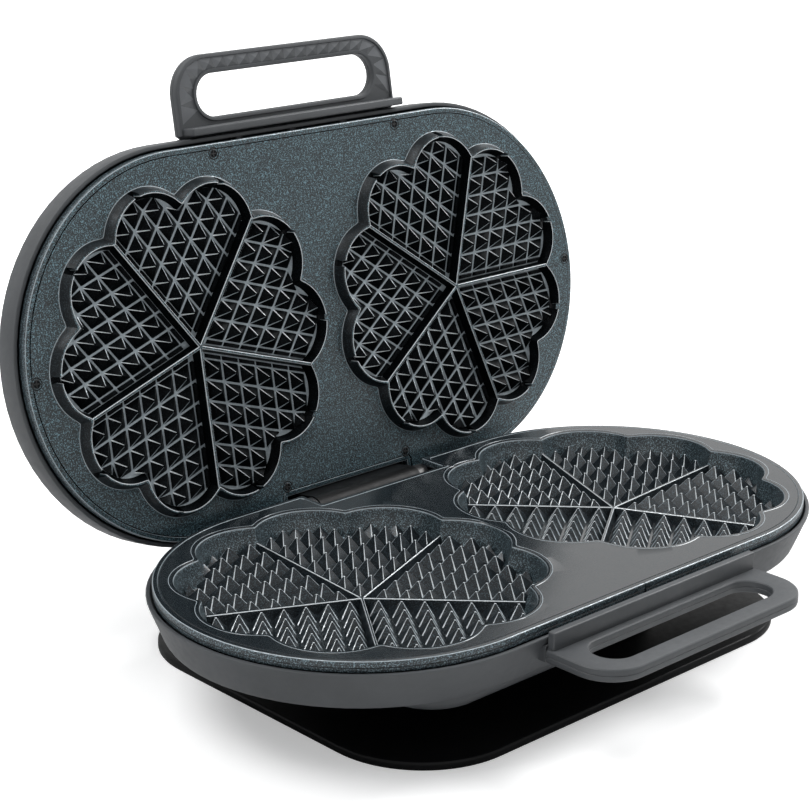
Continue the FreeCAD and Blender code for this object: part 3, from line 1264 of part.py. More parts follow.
def write_parts():
    """Writes every sub-part to its own file."""
    os.makedirs("parts", exist_ok=True)
    for thing in NODES:
        thing.Shape.exportStep(f"parts/{thing.Label}.step")
        print(f"{thing.Label}: {len(thing.Shape.Solids)} solids, {thing.Shape.Volume:.0f} mm3")


make_base()
make_neck()
make_terminal_block()
make_lower_housing()
make_lower_plate()
make_heating()
make_shields()
make_handles()
make_ears()
make_lid_arm()
make_upper_housing()
make_upper_plate()
make_controls()
make_lamps()
check_document()
write_parts()
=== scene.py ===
"""Looks of a long oval heart-waffle iron that stands open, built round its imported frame.

Sizes of the iron are millimetres in the shut position; the lid's points are swung open before they are
written to a mesh, and every mesh is written in metres with its object at the origin. The finishes and the
studio are given in metres.
"""

import json
import logging
import math
from dataclasses import dataclass
from enum import Enum, IntEnum
from typing import Callable, Optional, Sequence

import bmesh
import bpy
import numpy as np
from mathutils import Matrix, Vector


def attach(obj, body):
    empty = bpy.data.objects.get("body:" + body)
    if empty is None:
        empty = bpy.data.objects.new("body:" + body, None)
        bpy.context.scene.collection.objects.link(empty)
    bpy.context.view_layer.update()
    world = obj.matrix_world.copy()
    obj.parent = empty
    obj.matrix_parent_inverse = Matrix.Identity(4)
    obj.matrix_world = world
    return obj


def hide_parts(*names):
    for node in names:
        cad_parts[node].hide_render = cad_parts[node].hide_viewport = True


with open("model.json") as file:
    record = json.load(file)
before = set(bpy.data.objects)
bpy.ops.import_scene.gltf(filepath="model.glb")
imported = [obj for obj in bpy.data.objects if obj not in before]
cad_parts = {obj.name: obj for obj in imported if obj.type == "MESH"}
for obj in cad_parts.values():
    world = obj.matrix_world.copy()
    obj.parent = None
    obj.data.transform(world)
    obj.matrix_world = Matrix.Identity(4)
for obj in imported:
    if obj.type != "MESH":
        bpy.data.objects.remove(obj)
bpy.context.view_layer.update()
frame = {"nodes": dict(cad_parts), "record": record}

log = logging.getLogger("waffle_iron")

Points = np.ndarray
Colour = tuple[float, float, float]
Profile = Sequence[tuple[float, float]]
Outline = Callable[[float], Points]
# Distances and heights in every direction, and the finish of the strip that follows.
Row = tuple[np.ndarray, np.ndarray | float, int]

FAR = 1e9
TINY = 1e-9
LOBE_STEP = 36.0  # degrees between the lobes of a flower
HEART_STEP = 72.0  # degrees between its separators
HEARTS = 5
RIM_WIDTH = 4.6
RIM_INSETS = (0.2, 0.6, 1.0, 2.75, 2.95, 3.3, 3.5, RIM_WIDTH)


class Body(Enum):
    """Bodies that the new pieces move with."""

    LOWER = "lower_half"
    LID = "lid"


class Side(Enum):
    """Left or right flower of a plate, with the turn of its lobes in degrees."""

    LEFT = (-1, 0.0)
    RIGHT = (1, LOBE_STEP / 2)

    @property
    def sign(self) -> int:
        """Minus one on the left and one on the right."""
        return self.value[0]

    @property
    def turn(self) -> float:
        """Angle of the first lobe's tip."""
        return self.value[1]


class Mark(IntEnum):
    """Finishes of a cooking plate, in the order of its materials."""

    LAND = 0
    RELIEF = 1
    # Painted highlight: a pale copy of the coating on lit edges, crests and tips.
    PAINTED_HIGHLIGHT = 2
    # Painted light: a light copy of the coating on valley floors, half-lit edges and thin lines of lips and
    # grooves.
    PAINTED_LIGHT = 3
    # Painted shade: a darker copy of the coating on the ring's outer walls and the rim's skirt.
    PAINTED_SHADE = 4
    # Painted light: a lighter, more flecked copy of the coating on the lit recess walls.
    PAINTED_LIT_RECESS = 5


@dataclass(frozen=True)
class Hinge:
    """Axis of the lid and how far it stands open."""

    y: float = 107.5
    z: float = 55.0
    angle: float = math.radians(100.0)

    def opened(self, points: Points) -> Points:
        """Turns points of the shut lid about the hinge axis.

        Args:
            points: Array whose last axis is x, y, z in millimetres.

        Returns:
            The points of the open lid.
        """
        dy = points[..., 1] - self.y
        dz = points[..., 2] - self.z
        c = math.cos(self.angle)
        s = math.sin(self.angle)
        return np.stack([points[..., 0], self.y + dy * c + dz * s, self.z - dy * s + dz * c], axis=-1)


HINGE = Hinge()


# Finishes

class Nodes:
    """Adds and links the nodes of one node tree."""

    def __init__(self, tree: bpy.types.NodeTree) -> None:
        """Starts with an empty tree."""
        self.tree = tree
        tree.nodes.clear()

    def add(self, kind: str, **settings: object) -> bpy.types.Node:
        """Adds one node and sets its plain properties.

        Args:
            kind: Node type.
            settings: Properties of the node.

        Returns:
            The node.
        """
        node = self.tree.nodes.new(kind)
        for name, setting in settings.items():
            setattr(node, name, setting)
        return node

    def link(self, source: bpy.types.Node, out: str | int, target: bpy.types.Node, into: str | int) -> None:
        """Links two sockets."""
        self.tree.links.new(source.outputs[out], target.inputs[into])

    def spread(self, source: bpy.types.Node, out: str, low: float, high: float,
               to_low: float, to_high: float) -> bpy.types.Node:
        """Maps one range of a value to another.

        Args:
            source: Node that gives the value.
            out: Its socket.
            low: Start of the range.
            high: End of the range.
            to_low: What the start becomes.
            to_high: What the end becomes.

        Returns:
            The mapping node.
        """
        node = self.add("ShaderNodeMapRange")
        for name, number in zip(("From Min", "From Max", "To Min", "To Max"), (low, high, to_low, to_high)):
            node.inputs[name].default_value = number
        self.link(source, out, node, "Value")
        return node


class Shader(Nodes):
    """Node material with an output, a principled shader and the piece's own coordinates."""

    def __init__(self, name: str) -> None:
        """Starts the material."""
        self.material = bpy.data.materials.new(name)
        self.material.use_nodes = True
        super().__init__(self.material.node_tree)
        self.output = self.add("ShaderNodeOutputMaterial")
        self.principled = self.add("ShaderNodeBsdfPrincipled")
        self.link(self.principled, "BSDF", self.output, "Surface")
        self.place = self.add("ShaderNodeTexCoord")

    def noise(self, scale: float, detail: float = 2.0, rough: float = 0.5) -> bpy.types.Node:
        """Noise over the piece's own coordinates.

        Args:
            scale: Waves per metre.
            detail: Number of finer layers.
            rough: Share of the finer layers.

        Returns:
            The noise node.
        """
        node = self.add("ShaderNodeTexNoise")
        node.inputs["Scale"].default_value = scale
        node.inputs["Detail"].default_value = detail
        node.inputs["Roughness"].default_value = rough
        self.link(self.place, "Object", node, "Vector")
        return node

    def feed(self, source: bpy.types.Node, out: str, into: str) -> None:
        """Links a node to one of the shader's sockets."""
        self.link(source, out, self.principled, into)

    def paint(self, source: bpy.types.Node, out: str, low: float, high: float,
              first: Sequence[float], last: Sequence[float]) -> None:
        """Colours the shader by a ramp between two positions.

        Args:
            source: Node that gives the factor.
            out: Its socket.
            low: Position of the first colour.
            high: Position of the last colour.
            first: First colour.
            last: Last colour.
        """
        node = self.add("ShaderNodeValToRGB")
        for stop, position, colour in zip(node.color_ramp.elements, (low, high), (first, last)):
            stop.position = position
            stop.color = (*colour, 1.0)
        self.link(source, out, node, "Fac")
        self.feed(node, "Color", "Base Color")

    def gloss(self, source: bpy.types.Node, smooth: float, rough: float) -> None:
        """Lets a noise move the roughness between two values."""
        self.feed(self.spread(source, "Fac", 0.3, 0.7, smooth, rough), "Result", "Roughness")

    def bump(self, source: bpy.types.Node, out: str, strength: float, distance: float,
             under: Optional[bpy.types.Node] = None) -> bpy.types.Node:
        """Bump from a height, on top of another bump if one is given.

        Args:
            source: Node that gives the height.
            out: Its socket.
            strength: Share of the bump that shows.
            distance: Height in metres.
            under: Bump below this one.

        Returns:
            The bump node, linked to the shader.
        """
        node = self.add("ShaderNodeBump")
        node.inputs["Strength"].default_value = strength
        node.inputs["Distance"].default_value = distance
        self.link(source, out, node, "Height")
        if under is not None:
            self.link(under, "Normal", node, "Normal")
        self.feed(node, "Normal", "Normal")
        return node

    def set(self, **numbers: float) -> None:
        """Sets constants on the shader's own sockets; underscores stand for spaces."""
        for name, number in numbers.items():
            socket = name.replace("_", " ").title().replace("Ior", "IOR")
            self.principled.inputs[socket].default_value = number


@dataclass(frozen=True)
class Finish:
    """Named finish; each kind lays its own nodes."""

    name: str

    def lay(self, shader: Shader) -> None:
        """Adds the nodes of the finish to a new material."""
        raise NotImplementedError

    def material(self) -> bpy.types.Material:
        """Makes the material.

        Returns:
            The material with its nodes.
        """
        shader = Shader(self.name)
        self.lay(shader)
        return shader.material


@dataclass(frozen=True)
class Plastic(Finish):
    """Moulded plastic: spark-eroded grain, faint cloudiness and polished spots in its roughness."""

    colour: Colour
    roughness: float = 0.5
    grain: float = 1700.0
    grain_depth: float = 0.00005
    grain_strength: float = 0.35
    cloud: float = 0.12
    shine: float = 0.45

    def lay(self, shader: Shader) -> None:
        """Adds the nodes of the finish to a new material."""
        clouds = shader.noise(28.0, detail=4.0, rough=0.6)
        dark = [c * (1 - self.cloud) for c in self.colour]
        light = [c * (1 + self.cloud) for c in self.colour]
        shader.paint(clouds, "Fac", 0.3, 0.7, dark, light)
        wear = shader.noise(210.0, detail=3.0, rough=0.6)
        shader.gloss(wear, self.roughness - 0.05, self.roughness + 0.06)
        grain = shader.noise(self.grain, detail=2.0, rough=0.55)
        shader.bump(grain, "Fac", self.grain_strength, self.grain_depth)
        shader.set(specular_ior_level=self.shine)


@dataclass(frozen=True)
class Coating(Finish):
    """Non-stick coating: near-black slate with metallic fleck, spray texture and softly uneven gloss."""

    colour: Colour = (0.005, 0.0115, 0.015)
    fleck: Colour = (0.17, 0.285, 0.335)
    roughness: float = 0.3
    shine: float = 0.6

    def lay(self, shader: Shader) -> None:
        """Adds the nodes of the finish to a new material."""
        fine = shader.noise(1500.0, detail=1.0, rough=0.5)
        shader.paint(fine, "Fac", 0.5, 0.69, self.colour, self.fleck)
        shader.feed(shader.spread(fine, "Fac", 0.52, 0.74, 0.0, 0.6), "Result", "Metallic")
        patches = shader.noise(60.0, detail=4.0, rough=0.62)
        shader.gloss(patches, self.roughness - 0.04, self.roughness + 0.06)
        spray = shader.noise(900.0, detail=2.0, rough=0.6)
        under = shader.bump(spray, "Fac", strength=0.3, distance=0.00012)
        shader.bump(fine, "Fac", strength=0.35, distance=0.00006, under=under)
        shader.set(specular_ior_level=self.shine)


@dataclass(frozen=True)
class Metal(Finish):
    """Drawn or turned metal with fine scratches along one axis and heat tint in patches."""

    colour: Colour
    tint: Colour
    roughness: float = 0.32

    def lay(self, shader: Shader) -> None:
        """Adds the nodes of the finish to a new material."""
        patches = shader.noise(45.0, detail=4.0, rough=0.6)
        shader.paint(patches, "Fac", 0.35, 0.65, self.colour, self.tint)
        stretch = shader.add("ShaderNodeMapping")
        stretch.inputs["Scale"].default_value = (0.06, 1.0, 1.0)
        shader.link(shader.place, "Object", stretch, "Vector")
        scratches = shader.noise(1500.0, detail=3.0, rough=0.6)
        shader.link(stretch, "Vector", scratches, "Vector")
        shader.gloss(scratches, self.roughness - 0.08, self.roughness + 0.1)
        shader.bump(scratches, "Fac", strength=0.2, distance=0.00002)
        shader.set(metallic=1.0)


@dataclass(frozen=True)
class Lens(Finish):
    """Tinted lamp lens with fine facets behind a clear face."""

    colour: Colour

    def lay(self, shader: Shader) -> None:
        """Adds the nodes of the finish to a new material."""
        facets = shader.add("ShaderNodeTexVoronoi")
        facets.inputs["Scale"].default_value = 900.0
        shader.link(shader.place, "Object", facets, "Vector")
        dark = [c * 0.45 for c in self.colour]
        shader.paint(facets, "Distance", 0.0, 0.7, self.colour, dark)
        shader.bump(facets, "Distance", strength=0.15, distance=0.0002)
        shader.set(roughness=0.12, coat_weight=0.6, coat_roughness=0.05)


class Finishes:
    """All finishes of the iron, one for each of the record's slots."""

    def __init__(self) -> None:
        """Builds the materials once."""
        kinds = (
            Plastic("charcoal_plastic", (0.056, 0.0605, 0.0655), 0.5),
            # Painted light: a lighter copy of the charcoal plastic for the lit grip facets.
            Plastic("painted_light_facet_plastic", (0.12, 0.127, 0.136), 0.42),
            Plastic("black_plastic", (0.004, 0.0042, 0.0046), 0.42, shine=0.1),
            Coating("nonstick_coating"),
            Coating("lower_land_coating", (0.004, 0.0065, 0.0085), (0.035, 0.05, 0.06), 0.18, 1.0),
            # Painted shade: a near-black copy of the coating without sheen, for the upper pyramid faces,
            # steam slots and dashes.
            Coating("upper_relief_painted_shade", (0.0012, 0.0016, 0.002), (0.008, 0.011, 0.013), 0.36, 0.03),
            Coating("lower_relief_coating", (0.005, 0.0075, 0.0095), (0.055, 0.074, 0.088), 0.3, 0.34),
            # Painted highlight: pale coating that stands for the light on edges, crests and tips.
            Coating("painted_highlight_coating", (0.62, 0.67, 0.7), (0.74, 0.78, 0.8), 0.32, 0.5),
            # Painted light: light coating that stands for the bright reflection of valley floors and thin
            # lines.
            Coating("painted_light_coating", (0.3, 0.35, 0.38), (0.4, 0.45, 0.48), 0.4, 0.4),
            # Painted light: lighter coating with more fleck for the lit recess walls; the fleck itself is the
            # coating's own.
            Coating("painted_lit_recess_coating", (0.012, 0.018, 0.0215), (0.21, 0.29, 0.33), 0.32, 0.55),
            # Painted shade: darker coating with little fleck for walls that stand in shade.
            Coating("painted_shade_coating", (0.006, 0.008, 0.0095), (0.035, 0.046, 0.054), 0.36, 0.22),
            Plastic("foot_rubber", (0.012, 0.012, 0.012), 0.75, 900.0, 0.0001),
            Metal("screw_steel", (0.07, 0.07, 0.073), (0.045, 0.045, 0.048)),
            Metal("dark_screw", (0.014, 0.0155, 0.017), (0.008, 0.009, 0.01), 0.36),
            Plastic("black_metal", (0.013, 0.013, 0.014), 0.38, 1100.0, 0.00004),
            Metal("heater_steel", (0.36, 0.34, 0.31), (0.22, 0.19, 0.16), 0.4),
            Metal("bush_brass", (0.55, 0.4, 0.17), (0.42, 0.29, 0.1), 0.3),
            Plastic("ceramic_white", (0.62, 0.6, 0.55), 0.4, 700.0, 0.00003),
            Plastic("dial_print", (0.03, 0.03, 0.031), 0.42),
            Plastic("dial_pale", (0.62, 0.62, 0.6), 0.5),
            Lens("red_lens", (0.45, 0.012, 0.012)),
            Lens("green_lens", (0.02, 0.3, 0.05)),
        )
        self.materials = {kind.name: kind.material() for kind in kinds}

    def pick(self, *names: str) -> list[bpy.types.Material]:
        """Materials of some finishes."""
        return [self.materials[name] for name in names]

    def coating(self, land: str, relief: str) -> list[bpy.types.Material]:
        """Materials of a cooking plate, in the order of its marks."""
        rest = ("painted_highlight_coating", "painted_light_coating", "painted_shade_coating", "painted_lit_recess_coating")
        return self.pick(land, relief, *rest)

    def dress_nodes(self) -> None:
        """Gives every CAD node the material of its slot."""
        for part in frame["record"]["subparts"]:
            node = frame["nodes"][part["node"]]
            node.data.materials.clear()
            node.data.materials.append(self.materials[part["material_slot"]])


# Surfaces

class Surface:
    """Collects point grids in millimetres and welds them into one closed mesh."""

    def __init__(self) -> None:
        """Starts with no points and no faces."""
        self.points: list[Points] = []
        self.faces: list[np.ndarray] = []
        self.marks: list[np.ndarray] = []
        self.count = 0

    def _take(self, points: Points) -> np.ndarray:
        """Stores points and gives their numbers in the same layout."""
        flat = points.reshape(-1, 3)
        numbers = np.arange(self.count, self.count + len(flat)).reshape(points.shape[:-1])
        self.points.append(flat)
        self.count += len(flat)
        return numbers

    def _keep(self, faces: np.ndarray, mark: int | np.ndarray) -> None:
        """Stores faces and the number of the finish that each takes."""
        self.faces.append(faces.reshape(-1, faces.shape[-1]))
        self.marks.append(np.broadcast_to(mark, faces.shape[:-1]).reshape(-1))

    def _quads(self, numbers: np.ndarray, around: bool, across: bool, mark: int | np.ndarray = 0) -> None:
        """Joins neighbours of a grid of numbers, whose last two axes are its rows and columns."""
        if around:
            numbers = np.concatenate([numbers, numbers[..., :1]], axis=-1)
        if across:
            numbers = np.concatenate([numbers, numbers[..., :1, :]], axis=-2)
        here, after = numbers[..., :-1, :], numbers[..., 1:, :]
        quads = np.stack([here[..., :-1], here[..., 1:], after[..., 1:], after[..., :-1]], axis=-1)
        self._keep(quads, mark)

    def grid(self, points: Points, around: bool = False, across: bool = False,
             mark: int | np.ndarray = 0) -> None:
        """Adds a sheet of quads.

        Args:
            points: Rows by columns of points.
            around: Whether the last column joins the first.
            across: Whether the last row joins the first.
            mark: Finish of the quads, or one for each row of them or each quad.
        """
        self._quads(self._take(points), around, across, mark)

    def tube(self, points: Points) -> None:
        """Adds a closed tube with flat ends.

        Args:
            points: Sections by points round each section.
        """
        numbers = self._take(points)
        self._quads(numbers, True, False)
        self._keep(numbers[:1], 0)
        self._keep(numbers[-1:], 0)

    def stacks(self, points: Points, mark: int | np.ndarray = 0, top: int = 0) -> None:
        """Adds many closed stacks of rings at once.

        Args:
            points: Stacks by rings by points round each ring.
            mark: Finish of the sides, or one for each side.
            top: Finish of the last ring's cap.
        """
        numbers = self._take(points)
        self._quads(numbers, True, False, mark)
        self._keep(numbers[:, 0], 0)
        self._keep(numbers[:, -1], top)

    def _welded(self, numbers: np.ndarray) -> tuple[list[list[int]], list[int]]:
        """Faces after equal points are joined: shrunken sides go, and pairs of faces that meet cancel out."""
        faces: list[list[int]] = []
        marks: list[int] = []
        for corners in sorted({group.shape[1] for group in self.faces}):
            alike = [index for index, group in enumerate(self.faces) if group.shape[1] == corners]
            group = numbers[np.concatenate([self.faces[index] for index in alike])]
            mark = np.concatenate([self.marks[index] for index in alike])
            same = group == np.roll(group, -1, axis=1)
            whole = ~same.any(axis=1)
            if corners == 4:
                ordered = np.sort(group, axis=1)
                _, back, count = np.unique(ordered, axis=0, return_inverse=True, return_counts=True)
                single = count[back.reshape(-1)] == 1
                three = (same.sum(axis=1) == 1) & single
                whole &= single
                faces += group[three][~same[three]].reshape(-1, 3).tolist()
                marks += mark[three].tolist()
            faces += group[whole].tolist()
            marks += mark[whole].tolist()
        return faces, marks

    def build(self, name: str, materials: Sequence[bpy.types.Material], body: Body, slot: str,
              *nodes: str, sharp: float = 30.0) -> None:
        """Welds equal points, drops empty faces and makes the object; points of the lid are swung open.

        Args:
            name: Name of the piece.
            materials: Its finishes.
            body: Body that it moves with.
            slot: Slot of the record for its finish; not used.
            nodes: CAD nodes that it stands for.
            sharp: Angle in degrees from which an edge stays sharp.
        """
        points = np.concatenate(self.points)
        if body is Body.LID:
            points = HINGE.opened(points)
        kept, numbers = np.unique(np.round(points, 4), axis=0, return_inverse=True)
        faces, marks = self._welded(numbers.reshape(-1))
        mesh = bpy.data.meshes.new(name)
        mesh.from_pydata((kept / 1000.0).tolist(), [], faces)
        for material in materials:
            mesh.materials.append(material)
        mesh.polygons.foreach_set("material_index", np.array(marks, dtype=np.int32))
        mesh.validate()
        shell = bmesh.new()
        shell.from_mesh(mesh)
        bmesh.ops.recalc_face_normals(shell, faces=shell.faces)
        shell.to_mesh(mesh)
        shell.free()
        mesh.polygons.foreach_set("use_smooth", np.ones(len(mesh.polygons), dtype=bool))
        mesh.set_sharp_from_angle(angle=math.radians(sharp))
        piece = bpy.data.objects.new(name, mesh)
        bpy.context.scene.collection.objects.link(piece)
        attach(piece, body.value)
        if nodes:
            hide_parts(*nodes)
        log.info("%s: %d points, %d faces", name, len(mesh.vertices), len(mesh.polygons))


def rounded_rectangle(middle: tuple[float, float], half_x: float, half_y: float, corner: float,
                      inset: float = 0.0, steps: int = 12) -> Points:
    """Points round a rectangle with circular corners: each corner's centre plus a turning radius.

    Args:
        middle: Centre in plan.
        half_x: Half the length.
        half_y: Half the depth.
        corner: Corner radius before the inset.
        inset: How far the outline lies inside.
        steps: Points of one corner.

    Returns:
        Array of plan points.
    """
    radius = max(corner - inset, 0.02)
    turn = np.concatenate([np.linspace(q, q + 90.0, steps) for q in (0.0, 90.0, 180.0, 270.0)])
    quarter = np.repeat(np.arange(4), steps)
    sign_x = np.array([1, -1, -1, 1])[quarter]
    sign_y = np.array([1, 1, -1, -1])[quarter]
    angle = np.radians(turn)
    x = middle[0] + sign_x * (half_x - inset - radius) + radius * np.cos(angle)
    y = middle[1] + sign_y * (half_y - inset - radius) + radius * np.sin(angle)
    return np.stack([x, y], axis=-1)


def unit(vectors: Points) -> Points:
    """Vectors of length one."""
    return vectors / np.linalg.norm(vectors, axis=-1, keepdims=True)


def heading(angle: np.ndarray) -> Points:
    """Plan vectors of length one in directions given in radians."""
    return np.stack([np.cos(angle), np.sin(angle)], axis=-1)


def at_level(plan: Points, level: float | np.ndarray) -> Points:
    """Lifts plan points to a level."""
    return np.concatenate([plan, np.broadcast_to(level, plan.shape[:-1])[..., None]], axis=-1)


def edge_round(radius: float, steps: int = 4) -> list[tuple[float, float]]:
    """Quarter circle as pairs of inset and drop, from the flat face to the side."""
    angle = np.linspace(0.0, math.pi / 2, steps)
    return [(radius * (1 - math.sin(a)), radius * (1 - math.cos(a))) for a in angle]


def block_levels(low: float, high: float, low_round: float, high_round: float) -> list[tuple[float, float]]:
    """Insets and levels of a block with rounded lower and upper edges, from bottom to top."""
    bottom = [(inset, low + drop) for inset, drop in edge_round(low_round)]
    top = [(inset, high - drop) for inset, drop in edge_round(high_round)][::-1]
    return bottom + top


def block(surface: Surface, outline: Outline, levels: Sequence[tuple[float, float]]) -> None:
    """Adds an upright block: one outline at several insets and levels, closed at both ends.

    Args:
        surface: Surface that takes the block.
        outline: Plan points for an inset.
        levels: Insets and levels from bottom to top.
    """
    surface.tube(np.stack([at_level(outline(inset), level) for inset, level in levels]))


def slab(surface: Surface, low: Sequence[float], high: Sequence[float], rounding: float) -> None:
    """Adds a box with rounded edges between two corners."""
    middle = ((low[0] + high[0]) / 2, (low[1] + high[1]) / 2)
    half = ((high[0] - low[0]) / 2, (high[1] - low[1]) / 2)

    def outline(inset: float) -> Points:
        """Outline of the box at an inset."""
        return rounded_rectangle(middle, *half, rounding, inset, 5)

    block(surface, outline, block_levels(low[2], high[2], rounding, rounding))


# Cooking plates

def from_tip(angle: np.ndarray, turn: float) -> np.ndarray:
    """Degrees between directions and the nearest lobe's tip."""
    return (angle - turn + LOBE_STEP / 2) % LOBE_STEP - LOBE_STEP / 2


@dataclass
class Flower:
    """Ten-lobed outline of a waffle, seen from its middle with x towards the middle of the plate."""

    ring: float = 64.6
    reach: float = 97.5
    soft: float = 0.9
    trim: float = 0.1

    def radius(self, angle: np.ndarray, turn: float, reach: float) -> np.ndarray:
        """Distance of the outline from the middle.

        The outline is the union of ten circles on a ring; the two nearest circles are joined by a soft
        maximum, which rounds the inner corners between lobes.

        Args:
            angle: Directions in degrees.
            turn: Direction of the first lobe.
            reach: Distance of a lobe's tip.

        Returns:
            Distances for all directions.
        """
        lobe = reach - self.ring
        off = np.abs(from_tip(angle, turn))
        a = np.radians(np.stack([off, LOBE_STEP - off]))
        part = np.sqrt(np.maximum(lobe ** 2 - (self.ring * np.sin(a)) ** 2, 0.0))
        near = self.ring * np.cos(a) + part
        near = np.where(part > 0.0, near, 0.0)
        peak = near.max(axis=0)
        return peak + np.log(np.exp((near - peak) / self.soft).sum(axis=0)) * self.soft - self.trim


@dataclass
class PlateOutline:
    """Stadium outline of a plate with a notch for the hinge, seen from one flower's middle."""

    half: float = 98.5
    radius: float = 108.5
    notch_half: float = 47.0
    notch_front: float = 90.7
    step: float = 1.2
    slot_sides: tuple[float, ...] = (-1.2, -1.05, 1.05, 1.2)

    def angles(self) -> np.ndarray:
        """Directions that meet all corners of the outline and all lobes of both flowers.

        Returns:
            Sorted directions in degrees.
        """
        even = np.arange(0.0, 360.0, self.step)
        wall = self.half - self.notch_half
        corners = [(wall, self.radius), (wall, self.notch_front)]
        for inset in (0.0, *RIM_INSETS):
            corners += [(self.half, self.notch_front - inset), (self.half, inset - self.radius)]
        extra = [math.degrees(math.atan2(y, x)) % 360.0 for x, y in corners]
        tips = np.arange(0.0, 360.0, LOBE_STEP / 2)
        slots = np.concatenate([tips + d for d in self.slot_sides]) % 360.0
        return np.unique(np.round(np.concatenate([even, extra, slots]), 5))

    def reach(self, angle: np.ndarray, inset: float) -> tuple[np.ndarray, np.ndarray]:
        """Distance of the outline in every direction.

        A round end, straight sides at a fixed y, the middle line at a fixed x, and a notch at the rear.

        Args:
            angle: Directions in degrees.
            inset: How far the outline lies inside the edge.

        Returns:
            Distances, and whether a direction ends on the middle line.
        """
        c, s = np.moveaxis(heading(np.radians(angle)), -1, 0)

        def until(size: float, share: np.ndarray) -> np.ndarray:
            """Distance at which a direction has gone a size along one axis."""
            return np.where(share > TINY, size / np.maximum(share, TINY), FAR)

        side = until(self.radius - inset, np.abs(s))
        seam = until(self.half, c)
        outer = np.where(c <= 0.0, self.radius - inset, np.minimum(side, seam))
        wall = until(self.half - self.notch_half - inset, c)
        front = until(self.notch_front - inset, s)
        notched = np.minimum(outer, np.maximum(wall, front))
        reach = np.where((c > 0.0) & (s > 0.0), notched, outer)
        return reach, seam <= reach + 1e-6


@dataclass
class Relief:
    """Lattice of rhombic pyramids between a flower's separators, or a line of bars beside a separator."""

    count: int = 8
    pitch: float = 12.2
    gap: float = 1.3
    margin: float = 6.25
    height: float = 5.5
    blunt: float = 0.9
    shoulder: float = 0.06
    chamfer: float = 0.55
    chamfer_shares: tuple[float, ...] = (1.0, 1.0, 0.35, 0.2)
    crown: tuple[float, float] = (0.16, 0.09)
    root: float = 1.0
    overhang: float = 4.5
    least: float = 1.6
    offset: Optional[float] = None
    half_across: Optional[float] = None

    @property
    def half(self) -> float:
        """Half the size of a cell along the first separator."""
        return (self.pitch - self.gap) / 2

    @property
    def breadth(self) -> float:
        """Half the size of a cell along the second separator."""
        return self.half if self.half_across is None else self.half_across

    def rows(self) -> np.ndarray:
        """Distances of the cells along the first separator."""
        return self.margin + self.half + self.pitch * np.arange(self.count)

    def columns(self) -> np.ndarray:
        """Distances of the cells along the second separator: as many, or a single line at an offset."""
        return self.rows() if self.offset is None else np.array([self.offset])


def row_marks(rows: Sequence[Row]) -> np.ndarray:
    """Finishes of the strips between rows, as one column."""
    return np.array([row[2] for row in rows[:-1]])[:, None]


def edge_marks(cells: Points, light: tuple[float, float]) -> np.ndarray:
    """Finishes of pyramids whose edges catch light from one side.

    Of a pyramid's four edges, the one that looks most towards the light takes a painted highlight, the next
    one takes painted light, and the rest stay as dark as the faces.

    Args:
        cells: Stacks of rings, with an edge between every odd point and the next one.
        light: Direction towards the light in the plan.

    Returns:
        One finish for each quad of each stack.
    """
    base = cells[:, 1, :, :2]
    out = (base[:, 1::2] + np.roll(base, -1, axis=1)[:, 1::2]) / 2 - base.mean(axis=1, keepdims=True)
    facing = (out / np.maximum(np.linalg.norm(out, axis=-1, keepdims=True), TINY)) @ np.array(light)
    order = np.argsort(np.argsort(-facing, axis=-1), axis=-1)
    marks = np.full((len(cells), cells.shape[1] - 1, 8), int(Mark.RELIEF))
    marks[:, :, 1::2] = np.array([Mark.PAINTED_HIGHLIGHT, Mark.PAINTED_LIGHT, Mark.RELIEF, Mark.RELIEF])[order][:, None]
    return marks


# Separator ridges paint a highlight on both shoulders of the crest.
RIDGE_MARKS = np.array([[Mark.RELIEF, Mark.RELIEF, Mark.PAINTED_HIGHLIGHT, Mark.LAND, Mark.PAINTED_HIGHLIGHT, Mark.RELIEF, Mark.RELIEF,
                         Mark.LAND]])


